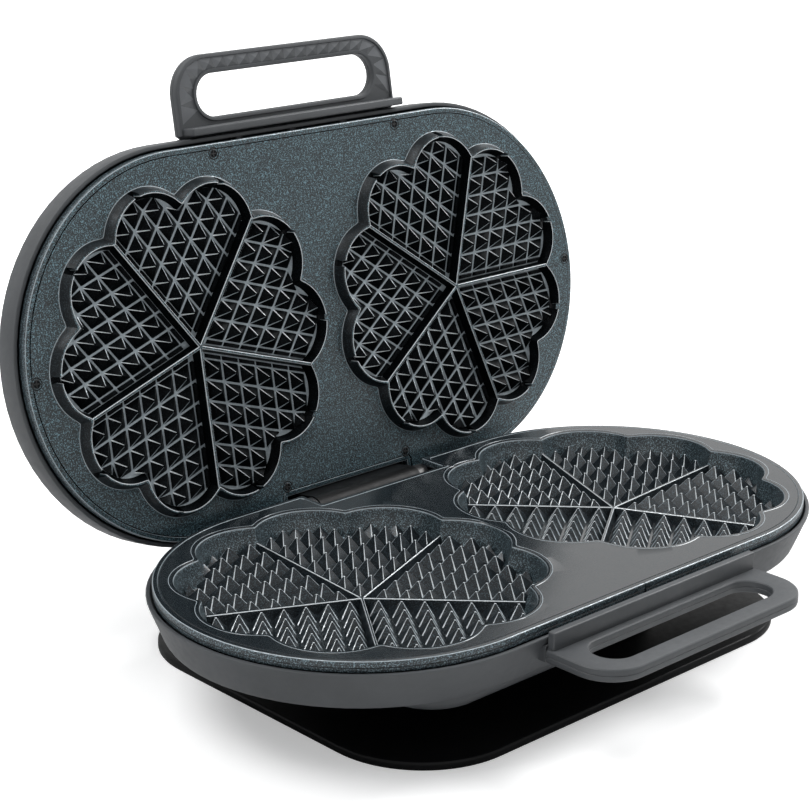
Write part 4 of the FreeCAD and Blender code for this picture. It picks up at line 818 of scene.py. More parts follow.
class CookingPlate:
    """One casting with two flowers: land, rim, relief, separators."""

    flower = Flower()
    relief_reach: float

    def __init__(self, land: float, up: float, outline: PlateOutline) -> None:
        """Keeps the plate's level and outline.

        Args:
            land: Level of the land.
            up: One where the relief rises upwards, minus one where it hangs down.
            outline: Edge of the plate.
        """
        self.land = land
        self.up = up
        self.outline = outline
        self.angles = outline.angles()

    def floor(self, away: np.ndarray) -> np.ndarray:
        """Level of the ground at distances from a flower's middle."""
        raise NotImplementedError

    def world(self, side: Side, plan_x: np.ndarray, plan_y: np.ndarray, height: np.ndarray) -> Points:
        """Places a flower's own coordinates on the iron."""
        x = side.sign * (self.outline.half - plan_x)
        return np.stack(np.broadcast_arrays(x, plan_y, self.land + self.up * height), axis=-1)

    def polar(self, side: Side, rows: Sequence[Row]) -> Points:
        """Points of rows that are given by distance and height in every direction."""
        a = np.radians(self.angles)
        reach, height = (np.stack([np.broadcast_to(row[k], a.shape) for row in rows]) for k in (0, 1))
        return self.world(side, reach * np.cos(a), reach * np.sin(a), height)

    @staticmethod
    def land_rows(lip: np.ndarray, edge: np.ndarray) -> list[Row]:
        """Rows of the flat land at even steps between a flower's lip and the rim."""
        return [(lip + (edge - lip) * share, 0.0, Mark.LAND) for share in (0.25, 0.5, 0.75)]

    def rim_rows(self, skirt: float) -> list[Row]:
        """Rows of the rim: a fine groove, a rounded edge and the skirt.

        Where a row ends on the middle line between the flowers, it takes the rim's own fall at that
        distance from the edge, so that both halves meet without a step.

        Args:
            skirt: Height of the side wall.

        Returns:
            Rows from the land outwards and down.
        """
        # The marks paint light on thin strips of the groove and the rounded edge, and shade on the skirt.
        top = [(RIM_WIDTH, 0.0, Mark.LAND), (3.5, 0.0, Mark.RELIEF), (3.3, -0.3, Mark.RELIEF),
               (2.95, -0.3, Mark.PAINTED_LIGHT), (2.75, 0.0, Mark.LAND), (1.0, -0.02, Mark.LAND),
               (0.6, -0.1, Mark.PAINTED_LIGHT), (0.2, -0.4, Mark.PAINTED_LIT_RECESS), (0.0, -0.9, Mark.PAINTED_LIT_RECESS)]
        profile = top + [(0.0, -3.2, Mark.PAINTED_SHADE), (0.25, -3.45, Mark.PAINTED_SHADE), (0.0, -3.7, Mark.PAINTED_LIT_RECESS),
                         (0.0, -skirt + 0.4, Mark.PAINTED_SHADE), (0.4, -skirt, Mark.PAINTED_SHADE), (3.0, -skirt, Mark.PAINTED_SHADE)]
        fall = np.array([(inset, height) for inset, height, _ in top])[::-1]
        rows = []
        for inset, height, mark in profile:
            reach, seam = self.outline.reach(self.angles, inset)
            y = reach * np.sin(np.radians(self.angles))
            rear = np.where(y > 0.0, self.outline.notch_front - y, FAR)
            near = np.minimum(self.outline.radius - np.abs(y), rear)
            line = np.interp(near, fall[:, 0], fall[:, 1]) if height > -skirt else height
            rows.append((reach, np.where(seam, line, height), mark))
        return rows

    def room(self, plan: Points, side: Side, reach: float) -> tuple[np.ndarray, np.ndarray]:
        """Distances of plan points from the flower's middle, and of the outline in their directions."""
        angle = np.degrees(np.arctan2(plan[..., 1], plan[..., 0]))
        return np.linalg.norm(plan, axis=-1), self.flower.radius(angle, side.turn, reach)

    @staticmethod
    def spokes(side: Side) -> np.ndarray:
        """Directions of the separators in radians."""
        return np.radians(side.turn + LOBE_STEP / 2 + HEART_STEP * np.arange(HEARTS))

    def lattice(self, side: Side, relief: Relief, swap: bool = False) -> Points:
        """Closed four-sided pyramids with chamfered edges and blunt tips over a grid of rhombi.

        A ring's corner lies at plus or minus its half size along both separators; two points a chamfer apart
        stand for each corner. Points beyond the outline move in to it and take the pyramid's height there.

        Args:
            side: Flower.
            relief: Sizes of the lattice.
            swap: Whether the two separators change roles.

        Returns:
            Stacks of rings of points.
        """
        half_a, half_b, reach = relief.half, relief.breadth, self.relief_reach
        spokes = self.spokes(side)
        one = heading(spokes)
        two = heading(spokes + math.radians(HEART_STEP))
        if swap:
            one, two = two, one
        grid_a, grid_b = np.meshgrid(relief.rows(), relief.columns(), indexing="ij")
        middle = grid_a.reshape(1, -1, 1) * one[:, None] + grid_b.reshape(1, -1, 1) * two[:, None]
        away, limit = self.room(middle, side, reach)
        corners = np.array([[1, 1], [1, -1], [-1, 1], [-1, -1]]) * (half_a, half_b)
        tips = middle[:, :, None] + corners[:, :1] * one[:, None, None] + corners[:, 1:] * two[:, None, None]
        tip_away, tip_limit = self.room(tips, side, reach)
        spare = (tip_limit - tip_away).max(axis=-1)
        heart, cell = np.nonzero((away < limit + relief.overhang) & (spare > relief.least))
        centre = middle[heart, cell]
        along = one[heart]
        across = two[heart]
        corner_a = np.array([1, 1, 1, -1, -1, -1, -1, 1]) * half_a
        corner_b = np.array([-1, 1, 1, 1, 1, -1, -1, -1]) * half_b
        trim_a = np.array([0, 0, 1, -1, 0, 0, -1, 1]) * relief.chamfer
        trim_b = np.array([-1, 1, 0, 0, 1, -1, 0, 0]) * relief.chamfer
        shares = np.array([0.0, 0.0, relief.blunt - relief.shoulder, relief.blunt])
        sizes = np.array([1.0, 1.0, *relief.crown])
        small = np.array(relief.chamfer_shares)
        a = corner_a * sizes[:, None] - trim_a * small[:, None]
        b = corner_b * sizes[:, None] - trim_b * small[:, None] * (half_b / half_a)
        plan = centre[:, None, None] + a[None, :, :, None] * along[:, None, None] \
            + b[None, :, :, None] * across[:, None, None]
        away, limit = self.room(plan, side, reach)
        out = away > limit
        plan = plan * np.where(out, limit / np.maximum(away, TINY), 1.0)[..., None]
        offset = plan - centre[:, None, None]
        along_x, along_y = along.T[..., None, None]
        across_x, across_y = across.T[..., None, None]
        skew = along_x * across_y - along_y * across_x
        own_a = (offset[..., 0] * across_y - offset[..., 1] * across_x) / skew
        own_b = (along_x * offset[..., 1] - along_y * offset[..., 0]) / skew
        steep = np.clip(1.0 - np.maximum(np.abs(own_a) / half_a, np.abs(own_b) / half_b), 0.0, 1.0)
        rise = np.where(out, np.minimum(steep, relief.blunt), shares[None, :, None])
        level = self.floor(np.linalg.norm(centre, axis=-1))[:, None, None] + rise * relief.height
        level[:, 0] -= relief.root
        return self.world(side, plan[..., 0], plan[..., 1], level)

    def separators(self, side: Side, reach: float, profile: Profile) -> Points:
        """Five ridges from the middle outwards: one cross profile carried along a line on the floor.

        Args:
            side: Flower.
            reach: Length of a ridge.
            profile: Offsets and heights of the cross section.

        Returns:
            Stacks of two rings, one for each ridge.
        """
        along = heading(self.spokes(side))
        across = np.stack([-along[:, 1], along[:, 0]], axis=-1)
        offset, height = np.array(profile).T
        runs = np.array([0.0, reach])
        plan = along[:, None, None] * runs[:, None, None] + across[:, None, None] * offset[:, None]
        level = self.floor(runs)[:, None] + height + np.zeros((HEARTS, 1, 1))
        return self.world(side, plan[..., 0], plan[..., 1], level)


class LowerPlate(CookingPlate):
    """Lower casting with two dished flower recesses."""

    depth = 14.4
    draft = 2.5
    slope = 0.065
    dish = 84.3
    skirt = 6.0
    pan = 2.2
    relief_reach = 93.5

    def __init__(self) -> None:
        """Sets the plate in the lower half."""
        super().__init__(66.5, 1.0, PlateOutline())

    def floor(self, away: np.ndarray) -> np.ndarray:
        """Level of the dished floor: flat at the edge and sinking evenly to the middle."""
        return -self.depth - self.slope * np.maximum(self.dish - away, 0.0)

    def shell_rows(self, side: Side) -> list[Row]:
        """Rows from the recess's middle over its floor, wall, lip, the land, the rim and back under the pan.

        Args:
            side: Flower.

        Returns:
            Rows of distance and height.
        """
        top = self.flower.radius(self.angles, side.turn, self.flower.reach)
        low = self.flower.radius(self.angles, side.turn, self.flower.reach - self.draft)
        edge, _ = self.outline.reach(self.angles, RIM_WIDTH)
        room = np.minimum(1.0, np.maximum(edge - top - 0.2, 0.25) / 3.4)
        rows = []
        for share in (0.0, 0.3, 0.6, 0.85):
            away = (low - 2.2) * share
            rows.append((away, self.floor(away), Mark.LAND))
        for inset, rise in ((2.2, 0.0), (1.2, 0.12), (0.45, 0.55), (0.0, 1.3)):
            rows.append((low - inset, self.floor(low - inset) + rise, Mark.PAINTED_LIT_RECESS))
        # Two thin strips of the lip take painted light as its highlight lines.
        lip = ((-0.42, -2.6, Mark.PAINTED_LIT_RECESS), (-0.2, -1.5, Mark.PAINTED_LIT_RECESS), (0.05, -0.7, Mark.PAINTED_LIGHT),
               (0.35, -0.25, Mark.LAND), (0.9, 0.0, Mark.LAND), (1.5, 0.0, Mark.LAND), (2.3, 0.0, Mark.LAND),
               (2.5, 0.12, Mark.PAINTED_LIGHT), (2.85, 0.12, Mark.LAND), (3.1, 0.0, Mark.LAND))
        for out, rise, mark in lip:
            rows.append((top + (out * room if out > 0 else out), rise, mark))
        rows += self.land_rows(rows[-1][0], edge)
        rows += self.rim_rows(self.skirt)
        rows.append((np.minimum(top + 2.4, edge - 0.1), -self.skirt, Mark.LAND))
        rows.append((np.minimum(low + self.pan, edge - 0.2), -self.depth - self.pan, Mark.LAND))
        for share in (0.85, 0.5, 0.0):
            away = low * share
            rows.append((away, self.floor(away) - self.pan, Mark.LAND))
        return rows

    def build(self, finishes: Finishes) -> None:
        """Builds the casting and its relief."""
        surface = Surface()
        relief = Relief(margin=2.4, height=8.0)
        ridge = [(-2.3, -0.6), (-1.7, 1.2), (-0.75, 5.5), (-0.4, 5.9), (0.4, 5.9), (0.75, 5.5), (1.7, 1.2),
                 (2.3, -0.6)]
        for side in Side:
            rows = self.shell_rows(side)
            surface.grid(self.polar(side, rows), around=True, mark=row_marks(rows))
            surface.stacks(self.separators(side, self.dish + 1.6, ridge), RIDGE_MARKS)
            cells = self.lattice(side, relief)
            # The lower pyramids' tips take the painted highlight.
            surface.stacks(cells, edge_marks(cells, (-0.75, -0.65)), Mark.PAINTED_HIGHLIGHT)
        dress = finishes.coating("lower_land_coating", "lower_relief_coating")
        surface.build("lower_plate_casting", dress, Body.LOWER, "nonstick_coating", "lower_cooking_plate",
                      sharp=26.0)


class UpperPlate(CookingPlate):
    """Upper casting with two raised flower rings."""

    ring_reach = 94.5
    ring_height = 6.5
    ring_strips = range(6, 12)
    relief_reach = 88.6
    skirt = 6.0
    slot_half = 1.8
    slot_depth = 6.2

    def __init__(self) -> None:
        """Sets the plate in the lid, with its relief hanging down when shut."""
        super().__init__(67.1, -1.0, PlateOutline(notch_front=98.2))

    def floor(self, away: np.ndarray) -> np.ndarray:
        """Level of the flat ground inside the ring."""
        return np.zeros_like(away)

    def slots(self, side: Side) -> np.ndarray:
        """Whether a direction lies in a steam slot at a lobe's tip."""
        return np.abs(np.radians(from_tip(self.angles, side.turn))) * self.ring_reach < self.slot_half

    def shell_rows(self, side: Side) -> list[Row]:
        """Rows from the middle over the ring with its steam slots, the land, the rim and the flat back.

        Args:
            side: Flower.

        Returns:
            Rows of distance and height.
        """
        slot = self.slots(side) * self.slot_depth
        ground, crest, brow, foot = (self.flower.radius(self.angles, side.turn, reach)
                                     for reach in (88.9, 90.9, 92.5, self.ring_reach))
        edge, _ = self.outline.reach(self.angles, RIM_WIDTH)
        room = np.minimum(1.0, np.maximum(edge - foot - 0.2, 0.3) / 1.8)
        # The floor between the pyramids takes painted light for its bright reflection.
        rows = [((ground - 1.2) * share, 0.0, Mark.PAINTED_LIGHT) for share in (0.0, 0.35, 0.7)]
        # The ring's crest takes the painted highlight, its outer wall painted shade and its foot painted
        # light.
        for base, out, height, mark in ((ground, -1.2, 0.0, Mark.PAINTED_LIGHT), (ground, -0.3, 0.25, Mark.RELIEF),
                                        (ground, 0.2, 0.9, Mark.RELIEF), (crest, -0.25, 5.6, Mark.RELIEF),
                                        (crest, 0.15, 6.3, Mark.PAINTED_HIGHLIGHT), (crest, 0.6, 6.4, Mark.LAND),
                                        (brow, -0.4, 6.35, Mark.PAINTED_SHADE), (brow, 0.1, 5.9, Mark.PAINTED_SHADE),
                                        (foot, -0.25, 1.0, Mark.PAINTED_SHADE), (foot, 0.15, 0.35, Mark.PAINTED_LIGHT),
                                        (foot, 0.5, 0.1, Mark.LAND), (foot, 1.2, 0.0, Mark.LAND)):
            reach = base + (out * room if base is foot and out > 0 else out)
            on_ring = height > self.ring_height / 2
            top = np.maximum(0.0, np.minimum(height, self.ring_height - slot)) if on_ring else height
            rows.append((reach, top, mark))
        rows += self.land_rows(rows[-1][0], edge)
        rows += self.rim_rows(self.skirt)
        return rows + [(edge * share, -self.skirt, Mark.LAND) for share in (0.5, 0.0)]

    def build(self, finishes: Finishes) -> None:
        """Builds the casting and its relief."""
        surface = Surface()
        relief = Relief()
        dashes = Relief(height=1.7, chamfer=0.15, blunt=0.95, crown=(0.86, 0.78), offset=4.1, half_across=1.2)
        ridge = [(-2.2, -0.6), (-1.6, 1.0), (-0.85, 5.8), (-0.5, 6.2), (0.5, 6.2), (0.85, 5.8), (1.6, 1.0),
                 (2.2, -0.6)]
        for side in Side:
            rows = self.shell_rows(side)
            slot = self.slots(side)
            ring = np.isin(np.arange(len(rows) - 1), self.ring_strips)[:, None]
            # Steam slots in the ring take the relief finish as painted shade.
            marks = np.where(slot & np.roll(slot, -1) & ring, Mark.RELIEF, row_marks(rows))
            surface.grid(self.polar(side, rows), around=True, mark=marks)
            surface.stacks(self.separators(side, 80.0, ridge), RIDGE_MARKS)
            cells = self.lattice(side, relief)
            surface.stacks(cells, edge_marks(cells, (-0.85, -0.5)), Mark.RELIEF)
            for swap in (False, True):
                surface.stacks(self.lattice(side, dashes, swap), Mark.RELIEF, Mark.RELIEF)
        dress = finishes.coating("nonstick_coating", "upper_relief_painted_shade")
        surface.build("upper_plate_casting", dress, Body.LID, "nonstick_coating", "upper_cooking_plate",
                      sharp=26.0)
        self.build_screws(finishes)

    def build_screws(self, finishes: Finishes) -> None:
        """Six cross-head screws: a turned profile whose height drops inside two crossed bars."""
        surface = Surface()
        places = [(s * x, y) for s in (-1, 1) for x, y in ((68.0, -102.9), (201.4, 0.0), (46.5, 92.3))]
        profile = [(0.0, 0.46), (0.45, 0.46), (0.9, 0.45), (1.4, 0.43), (1.8, 0.4), (1.85, 0.4), (2.1, 0.33),
                   (2.25, 0.2), (2.3, -0.05), (2.9, -0.05), (3.0, 0.1), (3.2, 0.16), (3.45, 0.1), (3.6, -0.1),
                   (3.6, -0.6), (0.0, -0.6)]
        # The groove round the head, the outer slope and the cross take the black finish as painted shade.
        painted_shade_strips = (6, 7, 8, 9, 12, 13)
        bar_half, bar_length, bar_floor = 0.46, 1.82, 0.08
        angle = np.radians(np.arange(0.0, 360.0, 5.0))
        away, height = np.array(profile).T[..., None]
        plan = away[..., None] * heading(angle)
        bar = (np.abs(plan).min(axis=-1) < bar_half) & (away < bar_length) & (height > 0.0)
        height = np.where(bar, bar_floor, height)
        dark = np.isin(np.arange(len(profile) - 1), painted_shade_strips)[:, None] | (bar[:-1] & bar[1:])
        for place in places:
            surface.grid(at_level(plan + place, self.land - height), around=True, mark=dark.astype(int))
        dress = finishes.pick("dark_screw", "black_metal")
        surface.build("plate_screw_heads", dress, Body.LID, "dark_screw", "upper_plate_screws")


# Housings

@dataclass
class Shells:
    """Lower band with belly and hinge notch, and the lid's shell."""

    half: float = 98.5
    notch_half: float = 47.0
    seat_half: float = 78.5
    wall: float = -112.3

    def track(self, steps: int = 40) -> tuple[np.ndarray, np.ndarray]:
        """Core points and outward normals round a stadium: the ends turn about the core's end points.

        Args:
            steps: Points of one round end.

        Returns:
            Core places along x, and normals.
        """
        turn = np.radians(np.linspace(-90.0, 90.0, steps))
        normals = np.concatenate([heading(turn), -heading(turn)])
        core = np.repeat([self.half, -self.half], steps)
        return core, normals

    def sweep(self, profile: Profile, notched: bool = False) -> Points:
        """Carries a profile round the stadium: a core point, plus the profile's radius along the normal.

        Args:
            profile: Radii and levels.
            notched: Whether it runs only from one side of the rear notch to the other.

        Returns:
            Places round the stadium by points of the profile.
        """
        core, normals = self.track()
        if notched:
            rear = np.array([[0.0, 1.0]])
            steps = len(core) // 2
            core = np.concatenate([[-self.notch_half], np.roll(core, steps), [self.notch_half]])
            normals = np.concatenate([rear, np.roll(normals, steps, axis=0), rear])
        away, level = np.array(profile).T
        x = core[:, None] + away * normals[:, :1]
        y = away * normals[:, 1:]
        return np.stack(np.broadcast_arrays(x, y, level), axis=-1)

    def build_lower(self, finishes: Finishes) -> None:
        """Builds the lower band with its floor, the hinge alcove, the belly and the seat of the handle."""
        surface = Surface()
        foot = [(104.5, 40.9), (103.9, 40.0), (103.0, 39.6), (101.8, 39.5)]
        band = [(109.5, 60.4), (109.9, 60.9), (111.1, 61.0), (111.65, 60.85), (111.95, 60.35), (111.9, 59.6),
                (104.9, 41.9), *foot, (40.0, 39.5), (40.0, 42.0), (101.5, 42.0)]
        surface.tube(self.sweep(band, notched=True))
        y, z = np.array([*foot[::-1], (106.0, 44.8), (105.6, 45.4), (84.0, 45.4), (84.0, 39.5)]).T
        ends = np.array([[-1.0], [1.0]]) * (self.notch_half + 2.0)
        surface.tube(np.stack(np.broadcast_arrays(ends, y, z), axis=-1))
        wall = self.notch_half + 2.5
        cheeks = ((-wall, -self.notch_half, 104.0), (self.notch_half, wall, 104.0), (-wall, wall, 90.5))
        for left, right, rear in cheeks:
            slab(surface, (left, 88.2, 43.0), (right, rear, 63.2), 0.4)
        block(surface, lambda inset: rounded_rectangle((0.0, 0.0), 140.0, 94.0, 30.0, inset, 14),
              block_levels(28.5, 42.0, 4.0, 0.3))
        slab(surface, (-self.seat_half, self.wall, 47.5), (self.seat_half, -101.0, 56.5), 0.6)
        dress = finishes.pick("charcoal_plastic")
        surface.build("lower_shell", dress, Body.LOWER, "charcoal_plastic", "lower_housing")

    def build_lid(self, finishes: Finishes) -> None:
        """Builds the lid's shell and the seat of its handle."""
        surface = Surface()
        shell = [(0.0, 91.6), (60.0, 91.6), (103.5, 91.6), (109.5, 86.6), (109.5, 73.1), (109.9, 72.7),
                 (111.2, 72.6), (111.8, 72.85), (112.0, 73.5), (112.0, 86.2), (111.6, 87.3), (110.8, 88.3),
                 (107.2, 92.6), (106.0, 93.6), (104.6, 94.05), (102.5, 94.1), (60.0, 94.1), (0.0, 94.1)]
        surface.grid(self.sweep(shell).swapaxes(0, 1), around=True)
        slab(surface, (-self.seat_half, self.wall, 78.1), (self.seat_half, -110.0, 85.1), 0.3)
        dress = finishes.pick("charcoal_plastic")
        surface.build("lid_shell", dress, Body.LID, "charcoal_plastic", "upper_housing")

    def build(self, finishes: Finishes) -> None:
        """Builds both housings."""
        self.build_lower(finishes)
        self.build_lid(finishes)


# Handles

@dataclass
class LoopHandle:
    """Flat loop with rounded edges and a parting line, and the heat flange at its root."""

    name: str
    body: Body
    face: float
    flange: tuple[float, float]
    sunk: float = 0.0
    thickness: float = 7.0
    half: float = 80.0
    wall: float = -112.3
    front: float = -157.3
    corner: float = 22.0
    slot_half: float = 65.5
    slot_low: float = -146.3
    slot_high: float = -122.3
    rounding: float = 1.5
    flange_half: float = 78.5
    flange_front: float = -118.0
    cells: int = 22
    cell_margin: float = 2.4
    cell_end: float = -119.6
    cell_depth: float = 0.95
    tip_depth: float = 0.45

    def outlines(self, steps: int = 12) -> tuple[Points, Points]:
        """Outer and inner outline with the same number of points, so that equal places face each other.

        Args:
            steps: Points of one corner.

        Returns:
            Outer and inner plan points.
        """
        turn = np.radians(np.linspace(-90.0, 0.0, steps))
        rise = np.radians(np.linspace(0.0, 90.0, steps))
        share = np.linspace(0.0, 1.0, steps)
        radius = (self.slot_high - self.slot_low) / 2
        inner_x = self.slot_half - radius
        inner_y = (self.slot_high + self.slot_low) / 2
        inner = (inner_x, inner_y) + radius * heading(np.concatenate([turn, rise]))
        outer_x = self.half - self.corner
        start = self.front + self.corner
        down = np.minimum(share * 2.0, 1.0)
        along = np.maximum(share * 2.0 - 1.0, 0.0)
        arm_x = self.half - (self.half - inner_x) * along
        arm_y = start + 4.0 + (self.wall - start - 4.0) * down
        bend = (outer_x, start) + self.corner * heading(turn)
        outer = np.concatenate([bend, np.stack([arm_x, arm_y], axis=-1)])
        mirror = np.array([-1.0, 1.0])
        return np.concatenate([outer, outer[::-1] * mirror]), np.concatenate([inner, inner[::-1] * mirror])

    def loop(self) -> Points:
        """Closed section carried round the loop, from the outer side over both faces to the slot.

        Returns:
            Sections by points round the loop.
        """
        outer, inner = self.outlines()
        toward = unit(inner - outer)
        low = self.face
        high = self.face + self.thickness
        r = self.rounding
        middle = (low + high) / 2
        side = [(2.7, low + self.sunk), (2.3, low), (r, low), (0.45 * r, low + 0.12 * r),
                (0.12 * r, low + 0.45 * r), (0.0, low + r), (0.0, middle - 0.3), (0.3, middle),
                (0.0, middle + 0.3), (0.0, high - r), (0.12 * r, high - 0.45 * r),
                (0.45 * r, high - 0.12 * r), (r, high)]
        first = [at_level(outer + toward * inset, level) for inset, level in side]
        second = [at_level(inner - toward * inset, level) for inset, level in side[::-1]]
        return np.stack(first + second)

    def build(self, finishes: Finishes) -> None:
        """Builds the loop and its flange."""
        surface = Surface()
        surface.grid(self.loop(), around=True, across=True)
        low, high = self.flange
        slab(surface, (-self.flange_half, self.flange_front, low), (self.flange_half, -113.5, high), 0.9)
        dress = finishes.pick("charcoal_plastic")
        surface.build(f"{self.name}_loop", dress, self.body, "charcoal_plastic", self.name)

    def build_inlay(self, finishes: Finishes) -> None:
        """Builds the grip inlay: a row of cells along both arms and the bar, each with four facets.

        A cell's corners lie on two lines a margin inside the loop's outlines, at even steps of the middle
        line between them. Its tip stands halfway on a diagonal; two of the facets beside it take a lighter
        plastic as painted light, and the other two keep the charcoal plastic.
        """
        outer, inner = self.outlines(40)
        toward = unit(inner - outer)
        lines = np.stack([outer + toward * self.cell_margin, inner - toward * self.cell_margin])
        edge = lines[0]
        keep = (lines[..., 1] < self.cell_end).all(axis=0)
        order = np.argsort(np.arctan2(edge[:, 0], self.flange_front - edge[:, 1]))
        lines = lines[:, order[keep[order]]]
        steps = np.linalg.norm(np.diff(lines.mean(axis=0), axis=0), axis=-1)
        run = np.concatenate([[0.0], np.cumsum(steps)])
        even = np.linspace(0.0, run[-1], self.cells + 1)
        edge, slot = (np.stack([np.interp(even, run, line[:, k]) for k in (0, 1)], axis=-1) for line in lines)
        plan = np.stack([edge[:-1], edge[1:], slot[1:], slot[:-1]], axis=1)
        ring = at_level(plan, self.face + self.cell_depth)
        back = ring + np.array([0.0, 0.0, 1.0])
        tip = at_level((plan[:, 1] + plan[:, 3]) / 2, self.face + self.tip_depth)
        peak = np.repeat(tip[:, None], 4, axis=1)
        surface = Surface()
        # The first and last facets take the lighter plastic as painted light.
        surface.stacks(np.stack([back, ring, peak * 0.98 + ring * 0.02], axis=1), np.array([1, 0, 0, 1]))
        dress = finishes.pick("charcoal_plastic", "painted_light_facet_plastic")
        surface.build("grip_facets", dress, self.body, "charcoal_plastic", "handle_grip_inlay", sharp=8.0)


# Base

@dataclass
class BaseUnit:
    """Base plate and the neck that the cord winds round."""

    length: float = 312.0
    depth: float = 244.0
    corner: float = 57.0
    shift: float = 19.0
    top: float = 4.5

    def build(self, finishes: Finishes) -> None:
        """Builds the base plate and the neck."""
        half_x, half_y = self.length / 2, self.depth / 2
        plate = Surface()
        middle = (0.0, self.shift)
        block(plate, lambda inset: rounded_rectangle(middle, half_x, half_y, self.corner, inset, 24),
              block_levels(0.0, self.top, 0.6, 1.4))
        # Painted shade: the base slab takes near-black plastic for the body's shadow on its charcoal plastic;
        # the neck takes the same.
        dress = finishes.pick("black_plastic")
        plate.build("base_slab", dress, Body.LOWER, "black_plastic", "base_plate")
        neck = Surface()
        block(neck, lambda inset: rounded_rectangle((0.0, 10.0), 95.0, 60.0, 30.0, inset, 14),
              [(-4.0, self.top - 0.2), (-3.0, self.top + 0.4), (-1.0, self.top + 1.6), (0.0, self.top + 3.6),
               (0.0, 25.0), (-1.0, 27.2), (-3.0, 28.3), (-4.0, 28.7)])
        neck.build("cord_neck_wall", dress, Body.LOWER, "black_plastic", "cord_neck")


# Dial

@dataclass
class Dial:
    """Printed marks on the dial ring: plain numbers made of bars, and ticks between them."""

    middle_y: float = -50.0
    level: float = 94.8
    radius: float = 27.0
    first: float = 210.0
    step: float = 48.0
    bar_length: float = 1.1
    bar_width: float = 0.28

    def bars(self) -> np.ndarray:
        """Bars of the digits one to six on a seven-bar figure and the ticks between them.

        Returns:
            Rows of the turn round the dial, middle x, middle y and whether a bar stands upright.
        """
        figures = ("bc", "abged", "abgcd", "fgbc", "afgcd", "afgedc")
        spots = {"a": (0.0, 2.0, 0), "b": (1.0, 1.0, 1), "c": (1.0, -1.0, 1), "d": (0.0, -2.0, 0),
                 "e": (-1.0, -1.0, 1), "f": (-1.0, 1.0, 1), "g": (0.0, 0.0, 0)}
        rows = [(self.first - self.step * k, *spots[bar])
                for k, figure in enumerate(figures) for bar in figure]
        ticks = [(self.first - self.step * (k + 0.5), 0.0, 0.0, 1) for k in range(len(figures) - 1)]
        return np.array(rows + ticks)

    def build(self, finishes: Finishes) -> None:
        """Builds the marks as thin bars that stand on the ring."""
        rows = self.bars()
        turn = np.radians(rows[:, 0])
        upright = rows[:, 3] > 0
        half_x = np.where(upright, self.bar_width, self.bar_length)
        half_y = np.where(upright, self.bar_length, self.bar_width)
        corner = np.array([(-1, -1), (1, -1), (1, 1), (-1, 1)])
        x = rows[:, 1, None] + corner[:, 0] * half_x[:, None]
        y = rows[:, 2, None] + corner[:, 1] * half_y[:, None]
        out = -heading(turn)
        side = np.stack([out[:, 1], -out[:, 0]], axis=-1)
        plan = out[:, None] * (self.radius + y)[..., None] + side[:, None] * x[..., None]
        plan = plan + (0.0, self.middle_y)
        surface = Surface()
        levels = (self.level - 0.1, self.level + 0.12)
        surface.stacks(np.stack([at_level(plan, level) for level in levels], axis=1))
        surface.build("dial_marks", finishes.pick("dial_pale"), Body.LID, "dial_print")


# Studio

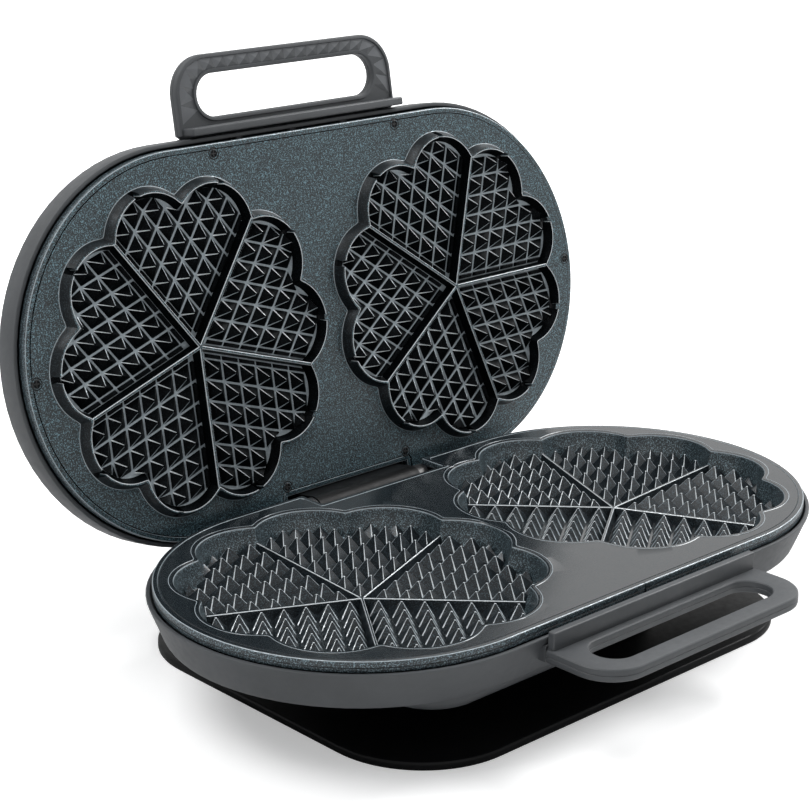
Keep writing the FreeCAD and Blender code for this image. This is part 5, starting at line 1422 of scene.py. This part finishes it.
@dataclass
class Studio:
    """Camera of the photograph's angle, pale floor and soft lights."""

    position: tuple[float, float, float] = (-0.764262, -0.74329, 0.482318)
    yaw: float = 43.113
    pitch: float = -17.998
    roll: float = 0.245
    focus: float = 2073.534
    frame_size: float = 810.0
    sensor: float = 36.0
    floor_half: float = 6.0
    white_from: float = 0.35
    white_to: float = 1.0
    least_white: float = 0.36
    middle: tuple[float, float, float] = (0.0, 0.05, 0.12)

    def camera(self) -> None:
        """Sets the camera by yaw, pitch and roll, with the lens that the focal length in pixels gives."""
        yaw, pitch, roll = (math.radians(v) for v in (self.yaw, self.pitch, self.roll))
        level = math.cos(pitch)
        forward = np.array([math.sin(yaw) * level, math.cos(yaw) * level, math.sin(pitch)])
        right = np.array([math.cos(yaw), -math.sin(yaw), 0.0])
        up = np.cross(right, forward)
        turned_right = math.cos(roll) * right + math.sin(roll) * up
        turned_up = -math.sin(roll) * right + math.cos(roll) * up
        data = bpy.data.cameras.new("photo_camera")
        data.sensor_width = self.sensor
        data.lens = self.focus / self.frame_size * self.sensor
        data.clip_start = 0.01
        data.clip_end = 50.0
        camera = bpy.data.objects.new("photo_camera", data)
        axes = np.stack([turned_right, turned_up, -forward, self.position], axis=1)
        camera.matrix_world = Matrix([*axes.tolist(), (0.0, 0.0, 0.0, 1.0)])
        bpy.context.scene.collection.objects.link(camera)
        bpy.context.scene.camera = camera

    def floor(self) -> None:
        """Pale matt floor that keeps the shadow."""
        size = self.floor_half
        mesh = bpy.data.meshes.new("floor")
        mesh.from_pydata([(-size, -size, 0.0), (size, -size, 0.0), (size, size, 0.0), (-size, size, 0.0)], [],
                         [(0, 1, 2, 3)])
        shader = Shader("floor_paper")
        tone = shader.noise(3.0)
        shader.paint(tone, "Fac", 0.3, 0.7, (0.93, 0.93, 0.93), (0.95, 0.95, 0.95))
        shader.set(roughness=0.9, specular_ior_level=0.1)
        self.whiten(shader)
        mesh.materials.append(shader.material)
        floor = bpy.data.objects.new("floor", mesh)
        bpy.context.scene.collection.objects.link(floor)

    def whiten(self, shader: Shader) -> None:
        """Adds white to what the camera sees of the floor: a little near the iron, all of it far away."""
        away = shader.add("ShaderNodeVectorMath", operation="LENGTH")
        shader.link(shader.place, "Object", away, "Vector")
        share = shader.spread(away, "Value", self.white_from, self.white_to, self.least_white, 1.0)
        path = shader.add("ShaderNodeLightPath")
        strength = shader.add("ShaderNodeMath", operation="MULTIPLY")
        shader.link(share, "Result", strength, 0)
        shader.link(path, "Is Camera Ray", strength, 1)
        glow = shader.add("ShaderNodeEmission")
        shader.link(strength, "Value", glow, "Strength")
        both = shader.add("ShaderNodeAddShader")
        shader.link(shader.principled, "BSDF", both, 0)
        shader.link(glow, "Emission", both, 1)
        shader.link(both, "Shader", shader.output, "Surface")

    def world(self) -> None:
        """White for the camera and for reflections, and plain soft light for everything else."""
        world = bpy.data.worlds.new("studio")
        bpy.context.scene.world = world
        world.use_nodes = True
        nodes = Nodes(world.node_tree)
        output = nodes.add("ShaderNodeOutputWorld")
        back = nodes.add("ShaderNodeBackground")
        soft = nodes.add("ShaderNodeBackground")
        mix = nodes.add("ShaderNodeMixShader")
        path = nodes.add("ShaderNodeLightPath")
        either = nodes.add("ShaderNodeMath", operation="MAXIMUM")
        more = nodes.add("ShaderNodeMath", operation="MAXIMUM")
        back.inputs["Color"].default_value = (1.0, 1.0, 1.0, 1.0)
        back.inputs["Strength"].default_value = 1.0
        soft.inputs["Color"].default_value = (0.97, 0.985, 1.0, 1.0)
        place = nodes.add("ShaderNodeTexCoord")
        split = nodes.add("ShaderNodeSeparateXYZ")
        nodes.link(place, "Generated", split, "Vector")
        height = nodes.spread(split, "Z", 0.0, 1.0, 0.12, 0.4)
        nodes.link(height, "Result", soft, "Strength")
        nodes.link(path, "Is Camera Ray", either, 0)
        nodes.link(path, "Is Glossy Ray", either, 1)
        nodes.link(either, 0, more, 0)
        nodes.link(path, "Is Transmission Ray", more, 1)
        nodes.link(more, 0, mix, "Fac")
        nodes.link(soft, 0, mix, 1)
        nodes.link(back, 0, mix, 2)
        nodes.link(mix, 0, output, "Surface")

    def lamp(self, name: str, place: Sequence[float], size: float, power: float) -> None:
        """Adds a square soft light that points at the iron's middle.

        Args:
            name: Name of the light.
            place: Its place in metres.
            size: Side length in metres.
            power: Power in watts.
        """
        data = bpy.data.lights.new(name, "AREA")
        data.size = size
        data.energy = power
        light = bpy.data.objects.new(name, data)
        aim = Vector(np.subtract(self.middle, place).tolist())
        light.location = place
        light.rotation_mode = "QUATERNION"
        light.rotation_quaternion = aim.to_track_quat("-Z", "Y")
        bpy.context.scene.collection.objects.link(light)

    def build(self) -> None:
        """Builds the camera, the floor and the lights."""
        bpy.context.scene.view_settings.view_transform = "Standard"
        self.camera()
        self.floor()
        self.world()
        self.lamp("key_right", (1.6, -0.25, 1.5), size=0.9, power=38.0)
        self.lamp("top_left", (-0.9, 0.6, 1.9), size=1.2, power=27.0)
        self.lamp("front_fill", (-0.7, -1.9, 1.0), size=1.2, power=3.0)


def main() -> None:
    """Builds the studio and every piece in order."""
    logging.basicConfig(level=logging.INFO, format="%(name)s: %(message)s")
    Studio().build()
    finishes = Finishes()
    finishes.dress_nodes()
    LowerPlate().build(finishes)
    UpperPlate().build(finishes)
    Shells().build(finishes)
    LoopHandle("lower_handle", Body.LOWER, face=48.5, flange=(54.4, 65.0)).build(finishes)
    upper = LoopHandle("upper_handle", Body.LID, face=78.1, flange=(68.6, 79.2), sunk=1.0)
    upper.build(finishes)
    upper.build_inlay(finishes)
    BaseUnit().build(finishes)
    Dial().build(finishes)


if __name__ == "__main__":
    main()
